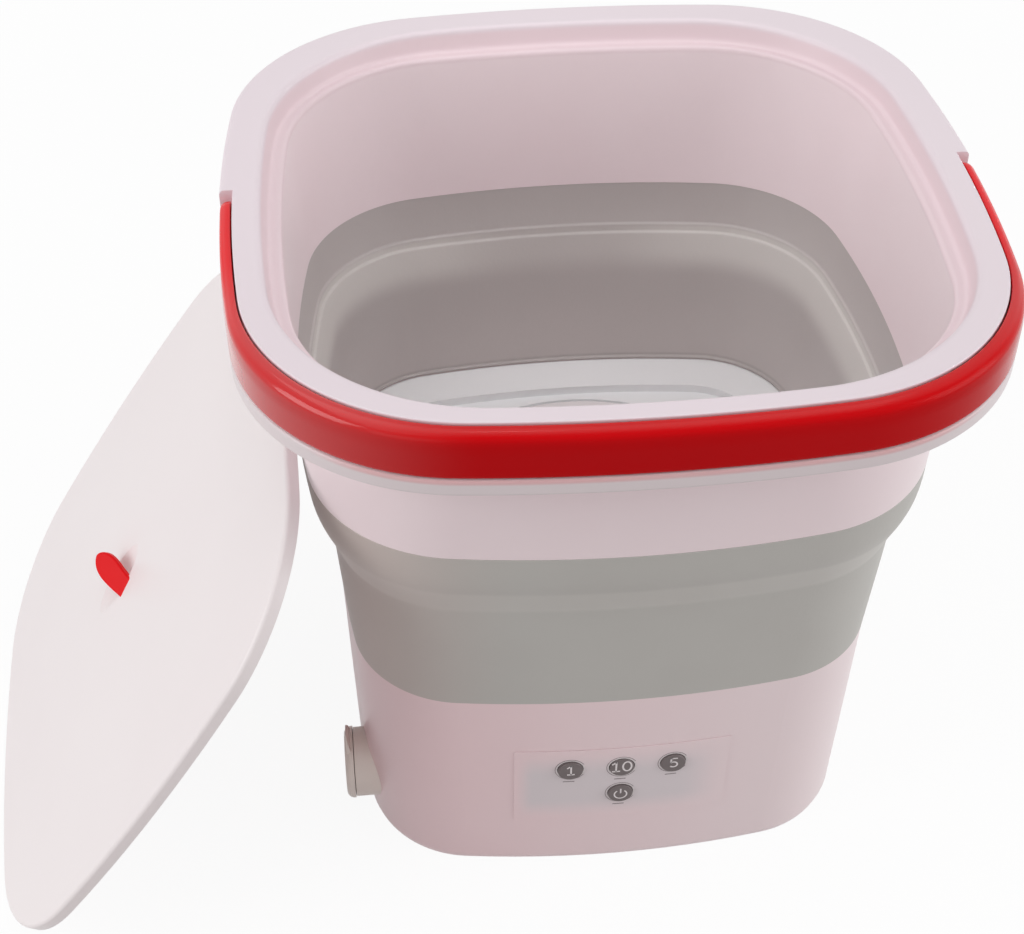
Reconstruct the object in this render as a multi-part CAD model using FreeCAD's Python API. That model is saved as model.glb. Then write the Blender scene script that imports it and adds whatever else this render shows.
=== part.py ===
"""Folding washing tub: driven base, folding wall, rigid upper shell, bail handle and loose lid."""
import FreeCAD
import Part
import math
import os

from FreeCAD import Placement, Rotation, Vector

os.makedirs("parts", exist_ok=True)

# All sizes in millimetres; +Z up, the front is -Y, the origin is on the floor under the tub's centre
X = Vector(1, 0, 0)
Y = Vector(0, 1, 0)
Z = Vector(0, 0, 1)

# Rounded-square rings of the tub: half-width, corner radius, bow radius of the sides, height,
# and for the handle recess how much further out the left and right sides stand
BASE_FOOT = (103.4, 43.0, 430.0, 0.0)
BASE_LOW = (104.2, 44.0, 430.0, 2.5)
BASE_TOP = (107.0, 45.0, 430.0, 100.0)
FOLD_LOW = (109.0, 47.2, 430.0, 127.0)
FOLD_CREASE = (110.6, 48.9, 430.0, 150.0)
FOLD_BEND = (111.4, 49.8, 430.0, 155.0)
FOLD_STEP = (114.0, 52.6, 430.0, 162.0)
FOLD_SHOULDER = (116.9, 55.7, 430.0, 169.0)
BAND_FOOT = (118.4, 57.3, 430.0, 174.0)
BAND_HIGH = (119.2, 58.2, 430.0, 180.0)
SHELL_FOOT = (119.4, 58.4, 430.0, 188.0)
SHELL_NECK = (120.8, 69.4, 628.0, 237.0)
SEAT_EDGE = (117.9, 66.6, 628.0, 253.2)
SEAT_WALL = (124.4, 76.5, 628.0, 253.2)
RIM_EDGE = (125.4, 77.5, 628.0, 262.0)
RIM_OUT = (140.0, 81.0, 628.0, 262.0)
RECESS = (133.5, 80.0, 628.0, 262.0, 1.6)

# Length of cutting tools that have to pass beyond the whole tub
FAR = 3 * RIM_OUT[0]

# Walls and clearances
BASE_WALL = 2.5
FOLD_WALL = 2.0
SHELL_WALL = 2.4
RUN_GAP = 0.3
SIDE_GAP = 0.5

# Rim: the flange carries the handle, a plate closes the top
FLANGE_LOW_Z = SHELL_NECK[3]
FLANGE_THICK = 6.5
RIM_PLATE = 2.4
RIM_ROUND = 2.0

# Share of an edge rounding at the middle of its arc
ARC_SHARE = 1 - math.cos(math.pi / 4)

# Handle: a flat bail around the front half of the rim, turning on two pins
HANDLE_LOW_Z = FLANGE_LOW_Z + FLANGE_THICK + SIDE_GAP
HANDLE_HIGH = 17.5
HANDLE_TOP_Z = HANDLE_LOW_Z + HANDLE_HIGH
HANDLE_ROUND = 1.8
HANDLE_FOOT_ROUND = 0.8
PIVOT_Z = HANDLE_LOW_Z + HANDLE_HIGH / 2
PIVOT_BOSS_R = HANDLE_HIGH / 2
PIVOT_PIN_R = 3.0
PIVOT_PIN_SHORT = 0.7
PIVOT_PIN_SINK = 1.5
RECESS_RIB = 3.0

# Tub floor: sloped border, square pan, round ridge, hanging boss and posts
FLOOR_GAP = 0.2
FLOOR_SEAT_Z = 93.0
FLOOR_LEDGE = 4.0
FLOOR_EDGE_Z = 99.5
FLOOR_LIP = 1.2
SLOPE_END = (89.5, 31.5, 430.0, 96.5)
PAN = (88.0, 30.0, 430.0, 92.5)
PAN_THICK = 3.0
RIDGE_R = 84.0
RIDGE_WIDE = 2.5
RIDGE_HIGH = 2.0
BOSS_R = 11.0
BOSS_LOW_Z = 80.0
POST_R = 5.0
POST_AT = 36.0

# Drive: motor, bracket, shaft, bush and seal
SHAFT_R = 4.0
SHAFT_LOW_Z = 44.0
SHAFT_TOP_Z = 101.0
BUSH_R = 7.0
BUSH_LOW_Z = 80.5
BUSH_TOP_Z = 90.0
MOTOR_R = 30.0
MOTOR_LOW_Z = 20.0
BRACKET_HALF = 44.0
BRACKET_THICK = 2.5
BRACKET_ROUND = 8.0
MOTOR_SCREW_AT = 22.0
TERMINAL_Y = -36.0
TERMINAL_Z = 28.0
TERMINAL_HALF = 13.0
TERMINAL_HIGH = 12.0
TERMINAL_SINK = 5.0
MOTOR_ROUND = 3.0

# Pulsator: perforated disc with low vanes, hub, centre cap and its screw
PULSATOR_R = 77.0
PULSATOR_LOW_Z = 94.0
PULSATOR_TOP_Z = 97.0
PULSATOR_SKIRT = 2.2
PULSATOR_PLATE = 1.6
HUB_R = 10.0
HUB_DROP = 0.8
HOLE_EDGE = 6.0
HOLE_RING_R = PULSATOR_R - HOLE_EDGE
HOLE_R = 1.3
HOLE_COUNT = 48
VANE_COUNT = 6
VANE_LONG = 34.0
VANE_HIGH = 5.0
VANE_WIDE = 6.0
VANE_GAP = 2.0
VANE_ROUND = 2.0
CAP_R = 24.0
CAP_TOP_Z = 108.5
CAP_WALL = 2.0
CAP_TAPER = 7.0
CAP_ROUND = 3.0
CAP_SLOTS = 12
CAP_SLOT_WIDE = 2.0
CAP_SLOT_DEEP = 10.0
CAP_SLOT_LOW = 2.5
CAP_SLOT_HIGH = 4.5
HUB_SCREW_R = 5.1
HUB_SCREW_HIGH = 2.8

# Buttons: centre on the front wall, face radius, travel and the parts behind them
BUTTON_R = 5.0
BUTTON_ROUND = 0.6
BUTTON_TRAVEL = 1.0
BUTTON_FACE_Y = -106.9
BUTTON_FLANGE_Y = -101.2
BUTTON_FLANGE_R = 6.8
BUTTON_FLANGE_THICK = 1.4
BUTTON_STEM_R = 2.5
BUTTON_MID_X = -0.3
BUTTON_PITCH = 20.5
BUTTON_ROW_Z = 59.5
BUTTON_POWER_Z = 43.2
BUTTONS = {
    "button_one": (BUTTON_MID_X - BUTTON_PITCH, BUTTON_ROW_Z),
    "button_ten": (BUTTON_MID_X, BUTTON_ROW_Z),
    "button_five": (BUTTON_MID_X + BUTTON_PITCH, BUTTON_ROW_Z),
    "button_power": (BUTTON_MID_X, BUTTON_POWER_Z),
}
LABEL_HALF = 43.0
LABEL_LOW_Z = 28.0
LABEL_TOP_Z = 71.0
LABEL_THICK = 0.25
LABEL_GLUE = 0.12

# Control board on four posts behind the front wall
BOARD_HALF = 45.0
BOARD_LOW_Z = 20.0
BOARD_TOP_Z = 74.0
BOARD_FRONT_Y = -88.0
BOARD_THICK = 1.6
BOARD_POST_R = 3.5
BOARD_POST_SINK = 0.6
BOARD_POST_X = 39.0
BOARD_POST_Z = (26.0, 68.0)
SWITCH_HALF = 3.0
SWITCH_HIGH = 3.5
PLUNGER_R = 1.75
PLUNGER_HIGH = 0.9
PRESS_GAP = 0.2

# Drain: hole in the pan, bent tube, spout through the left wall, pull-off cap
DRAIN_X = -68.0
DRAIN_Y = -62.0
DRAIN_Z = 22.0
DRAIN_BORE_R = 6.0
DRAIN_TUBE_R = 8.0
DRAIN_SOCKET_Z = 85.0
DRAIN_BEND_R = 16.0
SPOUT_IN_X = -88.0
SPOUT_OUT_X = -106.2
SPOUT_R = 9.5
SPOUT_BORE_R = 7.0
SPOUT_COLLAR_R = 14.5
CAP_FLANGE_R = 15.0
CAP_FLANGE_THICK = 3.6
CAP_FLANGE_ROUND = 3.0
CAP_PLUG_LONG = 12.0
CAP_LIP_HALF = 6.5
CAP_LIP_TOP = 20.3
CAP_LIP_SINK = 4.5
CAP_LIP_FRONT = 0.9

# Power inlet in the rear wall: round nose, socket and centre pin of the common 5.5 by 2.1 plug
JACK_X = 40.0
JACK_Z = 30.0
JACK_NOSE_R = 5.0
JACK_FACE_Y = 104.2
JACK_BODY_Y = 92.0
JACK_BACK_Y = 80.0
JACK_HALF = 6.0
JACK_BORE_R = 2.85
JACK_BORE_LONG = 9.5
JACK_PIN_R = 1.05
LEAD_R = 1.0
LEAD_BEND_R = 6.0
LEAD_APART = 1.8
LEAD_STUB = 15.0
MOTOR_LEAD_X = 8.0
MOTOR_LEAD_Z = 40.0
JACK_LEAD_X = 28.0
JACK_LEAD_SIDE = 64.0
JACK_LEAD_TURN = 45.0

# Bottom cover, its screws and the rubber feet
COVER_LOW_Z = 2.5
COVER_THICK = 2.5
COVER_GAP = 0.6
COVER_POST_R = 6.0
COVER_POST_X = 96.3
COVER_POST_Y = 30.0
COVER_POST_TOP_Z = 25.0
FOOT_AT = 72.0
FOOT_R = 9.0
SCREW_R = 1.75
SCREW_HEAD_R = 3.2
SCREW_HEAD_HIGH = 1.8
SCREW_LONG = 10.0

# Lid: bowed square plate with a skirt, leaning on the left side of the shell
LID = (119.8, 60.5, 555.0, 0.0)
LID_SKIRT = 5.0
LID_PLATE = 2.0
LID_WALL = 2.0
LID_ROUND = 1.6
LID_TURN = math.radians(-4.5)
LID_LEAN = math.radians(55.5)
LID_REST = 0.1
LID_Y = -25.9
SCOOP_AT = (-9.5, 11.0)
SCOOP_TURN = 10.0
SCOOP_HALF_LONG = 17.5
SCOOP_HALF_WIDE = 8.5
SCOOP_DEEP = 2.4
SCOOP_OVER = 1.5
SCOOP_BORDER = 2.0
SCOOP_BOSS = 2.4
PULL_FOOT = (-5.5, 3.6)
PULL_TURN = 20.8
PULL_ROOT_HALF = 4.9
PULL_LEAF = ((-4.1, 9.2), (0.6, 18.3), (3.0, 19.0), (5.5, 17.0), (6.2, 7.3))
PULL_THICK = 3.0
PULL_TILT = 60.0
PULL_ROOT = 4.0
PULL_ROUND = 0.8
PULL_SHANK = (6.0, 2.4)
PULL_TRIM = 0.2


def ring_wire(half, corner, bow, z, side=0.0):
    """Closed wire of a bowed square: four side arcs joined by four tangent corner arcs.

    The left and right sides can stand further out than the front and back by the side value.
    """
    kx = half + side - bow
    ky = half - bow
    span = bow - corner
    apart = math.hypot(kx, ky)
    reach = math.sqrt(span ** 2 - apart ** 2 / 4)
    dx = kx / 2 - reach * ky / apart
    dy = ky / 2 - reach * kx / apart
    grow = bow / span
    right = Vector(kx + (dx - kx) * grow, dy * grow, 0)
    back = Vector(dx * grow, ky + (dy - ky) * grow, 0)
    centre = Vector(dx, dy, 0)
    bend = centre + (right + back - centre * 2).normalize() * corner

    def turned(sx, sy):
        return [Vector(p.x * sx, p.y * sy, z) for p in (right, bend, back)]

    ne, nw, sw, se = turned(1, 1), turned(-1, 1), turned(-1, -1), turned(1, -1)
    arcs = [(se[0], Vector(half + side, 0, z), ne[0]), ne]
    arcs += [(ne[2], Vector(0, half, z), nw[2]), nw[::-1]]
    arcs += [(nw[0], Vector(-half - side, 0, z), sw[0]), sw]
    arcs += [(sw[2], Vector(0, -half, z), se[2]), se[::-1]]
    return Part.Wire([Part.Arc(*arc).toShape() for arc in arcs])


def inset(ring, by):
    """The same ring moved inwards by a distance."""
    half, corner, bow = ring[:3]
    return (half - by, corner - by, bow - by) + ring[3:]


def at(ring, z):
    """The same ring at another height."""
    return ring[:3] + (z,) + ring[4:]


def between(low, high, z):
    """Ring at height z on the straight wall between two rings."""
    f = (z - low[3]) / (high[3] - low[3])
    return tuple(a + f * (b - a) for a, b in zip(low[:3], high[:3])) + (z,)


def tower(*rings):
    """Solid with straight walls from ring to ring."""
    return Part.makeLoft([ring_wire(*ring) for ring in rings], True, True)


def rod(radius, start, end):
    """Cylinder between two points."""
    run = Vector(*end) - Vector(*start)
    return Part.makeCylinder(radius, run.Length, Vector(*start), run)


def block(low, high):
    """Box between two opposite corners."""
    size = [b - a for a, b in zip(low, high)]
    return Part.makeBox(size[0], size[1], size[2], Vector(*low))


def fuse(shapes):
    """One solid from several overlapping ones."""
    return shapes[0].multiFuse(shapes[1:]).removeSplitter()


def cut(shape, tools):
    """Shape with all tools taken away."""
    for tool in tools:
        shape = shape.cut(tool)
    return shape


def rounded_path(points, radius):
    """Wire of straight runs joined by tangent arcs at the inner points."""
    points = [Vector(*p) for p in points]
    edges = []
    start = points[0]
    for before, corner, after in zip(points, points[1:], points[2:]):
        inward = (before - corner).normalize()
        outward = (after - corner).normalize()
        half = inward.getAngle(outward) / 2
        reach = radius / math.tan(half)
        middle = corner + (inward + outward).normalize() * (radius / math.sin(half) - radius)
        first = corner + inward * reach
        last = corner + outward * reach
        edges.append(Part.LineSegment(start, first).toShape())
        edges.append(Part.Arc(first, middle, last).toShape())
        start = last
    edges.append(Part.LineSegment(start, points[-1]).toShape())
    return Part.Wire(edges)


def hose(points, bend, radius):
    """Round solid along a path with rounded bends."""
    path = rounded_path(points, bend)
    run = Vector(*points[1]) - Vector(*points[0])
    circle = Part.Wire([Part.makeCircle(radius, Vector(*points[0]), run)])
    return path.makePipeShell([circle], True, True)


def screw(seat, way):
    """Screw whose head rests on the seat point and whose shank runs the given way."""
    seat = Vector(*seat)
    shank = Part.makeCylinder(SCREW_R, SCREW_LONG, seat, way)
    head = Part.makeCylinder(SCREW_HEAD_R, SCREW_HEAD_HIGH, seat - way * SCREW_HEAD_HIGH, way)
    return shank.fuse(head)


def screw_hole(seat, way):
    """Hole that the shank of a screw fills."""
    seat = Vector(*seat) - way
    return Part.makeCylinder(SCREW_R, SCREW_LONG + 1, seat, way)


def base_ring(z, by=0.0):
    """Outer ring of the base wall at a height, moved inwards by a distance."""
    return inset(between(BASE_LOW, BASE_TOP, z), by)


def base_outer():
    """Full outer volume of the base."""
    return tower(BASE_FOOT, BASE_LOW, BASE_TOP)


def cover_points():
    """Centres of the four cover screws."""
    return [(sx * COVER_POST_X, sy * COVER_POST_Y) for sx in (-1, 1) for sy in (-1, 1)]


def board_points():
    """Centres of the four board screws on the front wall."""
    return [(sx * BOARD_POST_X, z) for sx in (-1, 1) for z in BOARD_POST_Z]


def post_points():
    """Centres of the four posts under the tub floor."""
    return [(sx * POST_AT, sy * POST_AT) for sx in (-1, 1) for sy in (-1, 1)]


def base_housing():
    """Lower housing: tapered wall with floor ledge, board posts, cover posts and openings."""
    wall_top = at(base_ring(BASE_TOP[3], BASE_WALL), BASE_TOP[3] + 1)
    wall_low = at(base_ring(BASE_LOW[3], BASE_WALL), -1)
    wall = base_outer().cut(tower(wall_low, wall_top))
    ledge_z = FLOOR_SEAT_Z - FLOOR_LEDGE / 2
    ledge = tower(base_ring(ledge_z, 1), base_ring(FLOOR_SEAT_Z, 1))
    inner = BASE_WALL + FLOOR_LEDGE
    ledge = ledge.cut(tower(base_ring(ledge_z - 1, inner), base_ring(FLOOR_SEAT_Z + 1, inner)))
    cover_z = COVER_LOW_Z + COVER_THICK
    posts = [rod(COVER_POST_R, (x, y, cover_z), (x, y, COVER_POST_TOP_Z)) for x, y in cover_points()]
    front = BUTTON_FLANGE_Y - BOARD_POST_SINK
    posts += [rod(BOARD_POST_R, (x, front, z), (x, BOARD_FRONT_Y, z)) for x, z in board_points()]
    solid = fuse([wall, ledge] + posts)
    hole = BUTTON_R + RUN_GAP
    tools = [rod(hole, (x, -FAR, z), (x, BUTTON_FLANGE_Y + 1, z)) for x, z in BUTTONS.values()]
    tools.append(rod(JACK_NOSE_R, (JACK_X, JACK_BODY_Y, JACK_Z), (JACK_X, FAR, JACK_Z)))
    tools.append(rod(SPOUT_R, (-FAR, DRAIN_Y, DRAIN_Z), (SPOUT_IN_X, DRAIN_Y, DRAIN_Z)))
    tools += [screw_hole((x, y, COVER_LOW_Z), Z) for x, y in cover_points()]
    tools += [screw_hole((x, BOARD_FRONT_Y + BOARD_THICK, z), -Y) for x, z in board_points()]
    return cut(solid, tools)


def tub_floor():
    """Floor of the tub: sloped border around a square pan, with ridge, boss, posts and drain."""
    edge = base_ring(FLOOR_SEAT_Z, BASE_WALL + FLOOR_GAP)
    rim = tower(edge, at(base_ring(FLOOR_EDGE_Z, BASE_WALL + FLOOR_GAP), FLOOR_EDGE_Z))
    lip = at(inset(base_ring(FLOOR_EDGE_Z, BASE_WALL + FLOOR_GAP), FLOOR_LIP), FLOOR_EDGE_Z)
    slope = tower(SLOPE_END, lip, at(lip, FLOOR_EDGE_Z + 1))
    rim = rim.cut(slope).cut(tower(at(PAN, FLOOR_SEAT_Z - 1), at(PAN, FLOOR_EDGE_Z)))
    under_z = PAN[3] - PAN_THICK
    under = at(inset(PAN, -PAN_THICK), under_z)
    pan = tower(under, at(under, FLOOR_SEAT_Z + 0.5)).cut(tower(PAN, at(PAN, FLOOR_EDGE_Z)))
    ridge = Part.makeCylinder(RIDGE_R, RIDGE_HIGH + 1, Vector(0, 0, PAN[3] - 1))
    ridge = ridge.cut(Part.makeCylinder(RIDGE_R - RIDGE_WIDE, 20, Vector(0, 0, PAN[3] - 5)))
    boss = rod(BOSS_R, (0, 0, BOSS_LOW_Z), (0, 0, PAN[3] - 1))
    posts = [rod(POST_R, (x, y, BOSS_LOW_Z), (x, y, PAN[3] - 1)) for x, y in post_points()]
    socket = rod(DRAIN_TUBE_R, (DRAIN_X, DRAIN_Y, DRAIN_SOCKET_Z), (DRAIN_X, DRAIN_Y, PAN[3] - 1))
    solid = fuse([rim, pan, ridge, boss, socket] + posts)
    tools = [rod(BUSH_R, (0, 0, BOSS_LOW_Z - 1), (0, 0, PAN[3] + 5))]
    drain_low = (DRAIN_X, DRAIN_Y, DRAIN_SOCKET_Z - 1)
    tools.append(rod(DRAIN_BORE_R, drain_low, (DRAIN_X, DRAIN_Y, PAN[3] + 5)))
    tools += [screw_hole((x, y, BOSS_LOW_Z - BRACKET_THICK), Z) for x, y in post_points()]
    return cut(solid, tools)


def skin(rings, thick):
    """Open ring wall of even thickness through a list of outer rings."""
    inner = [inset(ring, thick) for ring in rings]
    inner[0] = at(inner[0], rings[0][3] - 1)
    inner[-1] = at(inner[-1], rings[-1][3] + 1)
    return tower(*rings).cut(tower(*inner))


def fold_wall():
    """Soft lower wall, upright band, crease and shoulder, that turns inside out in the fold."""
    rings = [BASE_TOP, FOLD_LOW, FOLD_CREASE, FOLD_BEND, FOLD_STEP, FOLD_SHOULDER, BAND_FOOT]
    return skin(rings, FOLD_WALL)


def upper_band():
    """Soft ring between the fold line and the rigid shell."""
    return skin([BAND_FOOT, BAND_HIGH, SHELL_FOOT], FOLD_WALL)


def wall_back():
    """Outer face of the shell wall and of the stepped lid seat, up to the rim plate."""
    low_z = SEAT_EDGE[3] - RIM_PLATE
    wall = tower(SHELL_FOOT, SHELL_NECK, at(SHELL_NECK, SEAT_EDGE[3]))
    low = at(inset(SEAT_WALL, -RIM_PLATE), low_z)
    high = at(inset(RIM_EDGE, -RIM_PLATE), RIM_OUT[3] - RIM_PLATE)
    return wall.fuse(tower(low, high))


def handle_sweep(low_z, radius, y_end):
    """Front part of the rim that the handle needs, with a round end about the pivot line."""
    front = block((-FAR, -FAR, low_z), (FAR, 0, FAR))
    above = block((-FAR, -FAR, PIVOT_Z), (FAR, y_end, FAR))
    end = rod(radius, (-FAR, 0, PIVOT_Z), (FAR, 0, PIVOT_Z))
    return front.multiFuse([above, end])


def upper_shell():
    """Rigid upper shell: wall, lid seat, hollow rim, flange and recess for the handle."""
    block_rings = [at(RIM_OUT, FLANGE_LOW_Z), at(RIM_OUT, RIM_OUT[3] - RIM_ROUND)]
    block_rings.append(at(inset(RIM_OUT, RIM_ROUND * ARC_SHARE), RIM_OUT[3] - RIM_ROUND * ARC_SHARE))
    block_rings.append(inset(RIM_OUT, RIM_ROUND))
    rim = tower(*block_rings)
    back = wall_back()
    plate_z = RIM_OUT[3] - RIM_PLATE
    channel = inset(RECESS, RIM_PLATE)
    front_channel = tower(at(channel, FLANGE_LOW_Z - 1), at(channel, plate_z)).cut(back)
    deep = inset(RIM_OUT, RIM_PLATE)
    rear_channel = tower(at(deep, FLANGE_LOW_Z - 1), at(deep, plate_z)).cut(back)
    rear_from = PIVOT_BOSS_R + SIDE_GAP + RECESS_RIB
    rear_channel = rear_channel.common(block((-FAR, rear_from, 0), (FAR, FAR, FAR)))
    shelf = HANDLE_LOW_Z - SIDE_GAP
    lip_channel = tower(at(deep, FLANGE_LOW_Z - 1), at(deep, shelf - RIM_PLATE)).cut(back)
    reach = PIVOT_BOSS_R + SIDE_GAP
    beyond = inset(RIM_OUT, -PIVOT_BOSS_R)
    recess = tower(at(beyond, shelf), at(beyond, RIM_OUT[3] + 5))
    recess = recess.cut(tower(at(RECESS, shelf - 1), at(RECESS, RIM_OUT[3] + 6)))
    recess = recess.common(handle_sweep(shelf, reach, reach))
    foot = at(inset(SHELL_FOOT, SHELL_WALL), SHELL_FOOT[3] - 1)
    bore = tower(foot, SEAT_EDGE, at(SEAT_EDGE, RIM_EDGE[3]))
    seat = tower(SEAT_WALL, RIM_EDGE, at(RIM_EDGE, RIM_EDGE[3] + 1))
    solid = cut(fuse([rim, back]), [front_channel, rear_channel, lip_channel, recess, bore, seat])
    pin_x = RECESS[0] + RECESS[4] - RIM_PLATE - 1.5 * PIVOT_PIN_SINK
    pins = [rod(PIVOT_PIN_R, (s * pin_x, 0, PIVOT_Z), (s * FAR, 0, PIVOT_Z)) for s in (-1, 1)]
    return cut(solid, pins)


def pivot_pins():
    """Two pins pressed through the recess wall of the rim."""
    start = RECESS[0] + RECESS[4] - RIM_PLATE - PIVOT_PIN_SINK
    end = RIM_OUT[0] - PIVOT_PIN_SHORT
    pins = [rod(PIVOT_PIN_R, (s * start, 0, PIVOT_Z), (s * end, 0, PIVOT_Z)) for s in (-1, 1)]
    return Part.makeCompound(pins)


def handle():
    """Bail handle: flat bar around the front half, round ends on the pivot pins."""
    inner = inset(RECESS, -SIDE_GAP)
    foot = HANDLE_FOOT_ROUND
    rings = [at(inset(RIM_OUT, foot), HANDLE_LOW_Z), at(RIM_OUT, HANDLE_LOW_Z + foot)]
    rings.append(at(RIM_OUT, HANDLE_TOP_Z - HANDLE_ROUND))
    share = HANDLE_ROUND * ARC_SHARE
    rings.append(at(inset(RIM_OUT, share), HANDLE_TOP_Z - share))
    rings.append(at(inset(RIM_OUT, HANDLE_ROUND), HANDLE_TOP_Z))
    bar = tower(*rings).cut(tower(at(inner, HANDLE_LOW_Z - 1), at(inner, HANDLE_TOP_Z + 1)))
    front = block((-FAR, -FAR, 0), (FAR, 0, FAR))
    end = rod(PIVOT_BOSS_R, (-FAR, 0, PIVOT_Z), (FAR, 0, PIVOT_Z))
    bar = bar.common(front.fuse(end))
    hole = rod(PIVOT_PIN_R + RUN_GAP, (-FAR, 0, PIVOT_Z), (FAR, 0, PIVOT_Z))
    return bar.cut(hole).removeSplitter()


def bottom_cover():
    """Cover plate that closes the base from below."""
    ring = base_ring(COVER_LOW_Z, BASE_WALL + COVER_GAP)
    plate = tower(ring, at(ring, COVER_LOW_Z + COVER_THICK))
    return cut(plate, [screw_hole((x, y, COVER_LOW_Z), Z) for x, y in cover_points()])


def cover_screws():
    """Four screws holding the bottom cover."""
    return Part.makeCompound([screw((x, y, COVER_LOW_Z), Z) for x, y in cover_points()])


def rubber_feet():
    """Four round feet under the bottom cover."""
    spots = [(sx * FOOT_AT, sy * FOOT_AT) for sx in (-1, 1) for sy in (-1, 1)]
    return Part.makeCompound([rod(FOOT_R, (x, y, 0), (x, y, COVER_LOW_Z)) for x, y in spots])


def motor():
    """Motor can with a terminal block at the front and a bore for the shaft."""
    top = BOSS_LOW_Z - BRACKET_THICK
    can = rod(MOTOR_R, (0, 0, MOTOR_LOW_Z), (0, 0, top))
    can = can.makeFillet(MOTOR_ROUND, [e for e in can.Edges if abs(e.BoundBox.ZMax - MOTOR_LOW_Z) < 0.01])
    half = TERMINAL_HIGH / 2
    low = (-TERMINAL_HALF, TERMINAL_Y, TERMINAL_Z - half)
    terminal = block(low, (TERMINAL_HALF, TERMINAL_SINK - MOTOR_R, TERMINAL_Z + half))
    solid = fuse([can, terminal])
    tools = [rod(SHAFT_R + RUN_GAP, (0, 0, SHAFT_LOW_Z - 2), (0, 0, top + 1))]
    tools += [screw_hole((s * MOTOR_SCREW_AT, 0, BOSS_LOW_Z), -Z) for s in (-1, 1)]
    return cut(solid, tools)


def motor_bracket():
    """Square plate that hangs the motor from the posts of the tub floor."""
    low = BOSS_LOW_Z - BRACKET_THICK
    plate = block((-BRACKET_HALF, -BRACKET_HALF, low), (BRACKET_HALF, BRACKET_HALF, BOSS_LOW_Z))
    upright = [e for e in plate.Edges if abs(e.tangentAt(e.FirstParameter).z) > 0.9]
    plate = plate.makeFillet(BRACKET_ROUND, upright)
    tools = [rod(BUSH_R, (0, 0, low - 1), (0, 0, BOSS_LOW_Z + 1))]
    tools += [screw_hole((x, y, low), Z) for x, y in post_points()]
    tools += [screw_hole((s * MOTOR_SCREW_AT, 0, BOSS_LOW_Z), -Z) for s in (-1, 1)]
    return cut(plate, tools)


def motor_screws():
    """Four screws into the floor posts and two into the motor."""
    low = BOSS_LOW_Z - BRACKET_THICK
    items = [screw((x, y, low), Z) for x, y in post_points()]
    items += [screw((s * MOTOR_SCREW_AT, 0, BOSS_LOW_Z), -Z) for s in (-1, 1)]
    return Part.makeCompound(items)


def shaft_bush():
    """Plain bush in the floor boss."""
    bush = rod(BUSH_R, (0, 0, BUSH_LOW_Z), (0, 0, BUSH_TOP_Z))
    return bush.cut(rod(SHAFT_R + RUN_GAP, (0, 0, BUSH_LOW_Z - 1), (0, 0, BUSH_TOP_Z + 1)))


def shaft_seal():
    """Seal ring above the bush."""
    seal = rod(BUSH_R, (0, 0, BUSH_TOP_Z), (0, 0, PAN[3]))
    return seal.cut(rod(SHAFT_R + RUN_GAP, (0, 0, BUSH_TOP_Z - 1), (0, 0, PAN[3] + 1)))


def drive_shaft():
    """Motor shaft that carries the pulsator."""
    return rod(SHAFT_R, (0, 0, SHAFT_LOW_Z), (0, 0, SHAFT_TOP_Z))


def pulsator():
    """Perforated disc with an edge skirt, hub and low vanes."""
    disc = rod(PULSATOR_R, (0, 0, PULSATOR_LOW_Z), (0, 0, PULSATOR_TOP_Z))
    plate_z = PULSATOR_TOP_Z - PULSATOR_PLATE
    under = rod(PULSATOR_R - PULSATOR_SKIRT, (0, 0, PULSATOR_LOW_Z - 1), (0, 0, plate_z))
    hub = rod(HUB_R, (0, 0, PULSATOR_LOW_Z - HUB_DROP), (0, 0, SHAFT_TOP_Z))
    shapes = [disc.cut(under), hub]
    vane_z = PULSATOR_TOP_Z - 1
    for i in range(VANE_COUNT):
        half = VANE_WIDE / 2
        start = CAP_R + VANE_GAP
        vane = block((start, -half, vane_z), (start + VANE_LONG, half, vane_z + VANE_HIGH))
        vane = vane.makeFillet(VANE_ROUND, [e for e in vane.Edges if e.BoundBox.ZMin > vane_z + 1])
        vane.rotate(Vector(0, 0, 0), Z, 360 * i / VANE_COUNT)
        shapes.append(vane)
    solid = fuse(shapes)
    hole = rod(HOLE_R, (HOLE_RING_R, 0, PULSATOR_LOW_Z), (HOLE_RING_R, 0, PULSATOR_TOP_Z + 1))
    holes = []
    for i in range(HOLE_COUNT):
        copy = hole.copy()
        copy.rotate(Vector(0, 0, 0), Z, 360 * i / HOLE_COUNT)
        holes.append(copy)
    bore = rod(SHAFT_R, (0, 0, 0), (0, 0, FAR))
    return cut(solid, [Part.makeCompound(holes), bore])


def pulsator_screw():
    """Screw that clamps the pulsator to the end of the shaft."""
    return rod(HUB_SCREW_R, (0, 0, SHAFT_TOP_Z), (0, 0, SHAFT_TOP_Z + HUB_SCREW_HIGH))


def pulsator_cap():
    """Hollow cap over the hub, slotted near its edge."""
    foot = Vector(0, 0, PULSATOR_TOP_Z)
    top_r = CAP_R - CAP_TAPER
    outer = Part.makeCone(CAP_R, top_r, CAP_TOP_Z - PULSATOR_TOP_Z, foot)
    outer = outer.makeFillet(CAP_ROUND, [e for e in outer.Edges if e.BoundBox.ZMin > CAP_TOP_Z - 0.01])
    room = CAP_TOP_Z - CAP_WALL - PULSATOR_TOP_Z
    inner = Part.makeCone(CAP_R - CAP_WALL, top_r - CAP_WALL, room, foot)
    half = CAP_SLOT_WIDE / 2
    low_z = PULSATOR_TOP_Z + CAP_SLOT_LOW
    slots = []
    for i in range(CAP_SLOTS):
        slot = block((CAP_R - CAP_SLOT_DEEP, -half, low_z), (CAP_R + 2, half, low_z + CAP_SLOT_HIGH))
        slot.rotate(Vector(0, 0, 0), Z, 360 * (i + 0.5) / CAP_SLOTS)
        slots.append(slot)
    return cut(outer, [inner] + slots)


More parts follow.
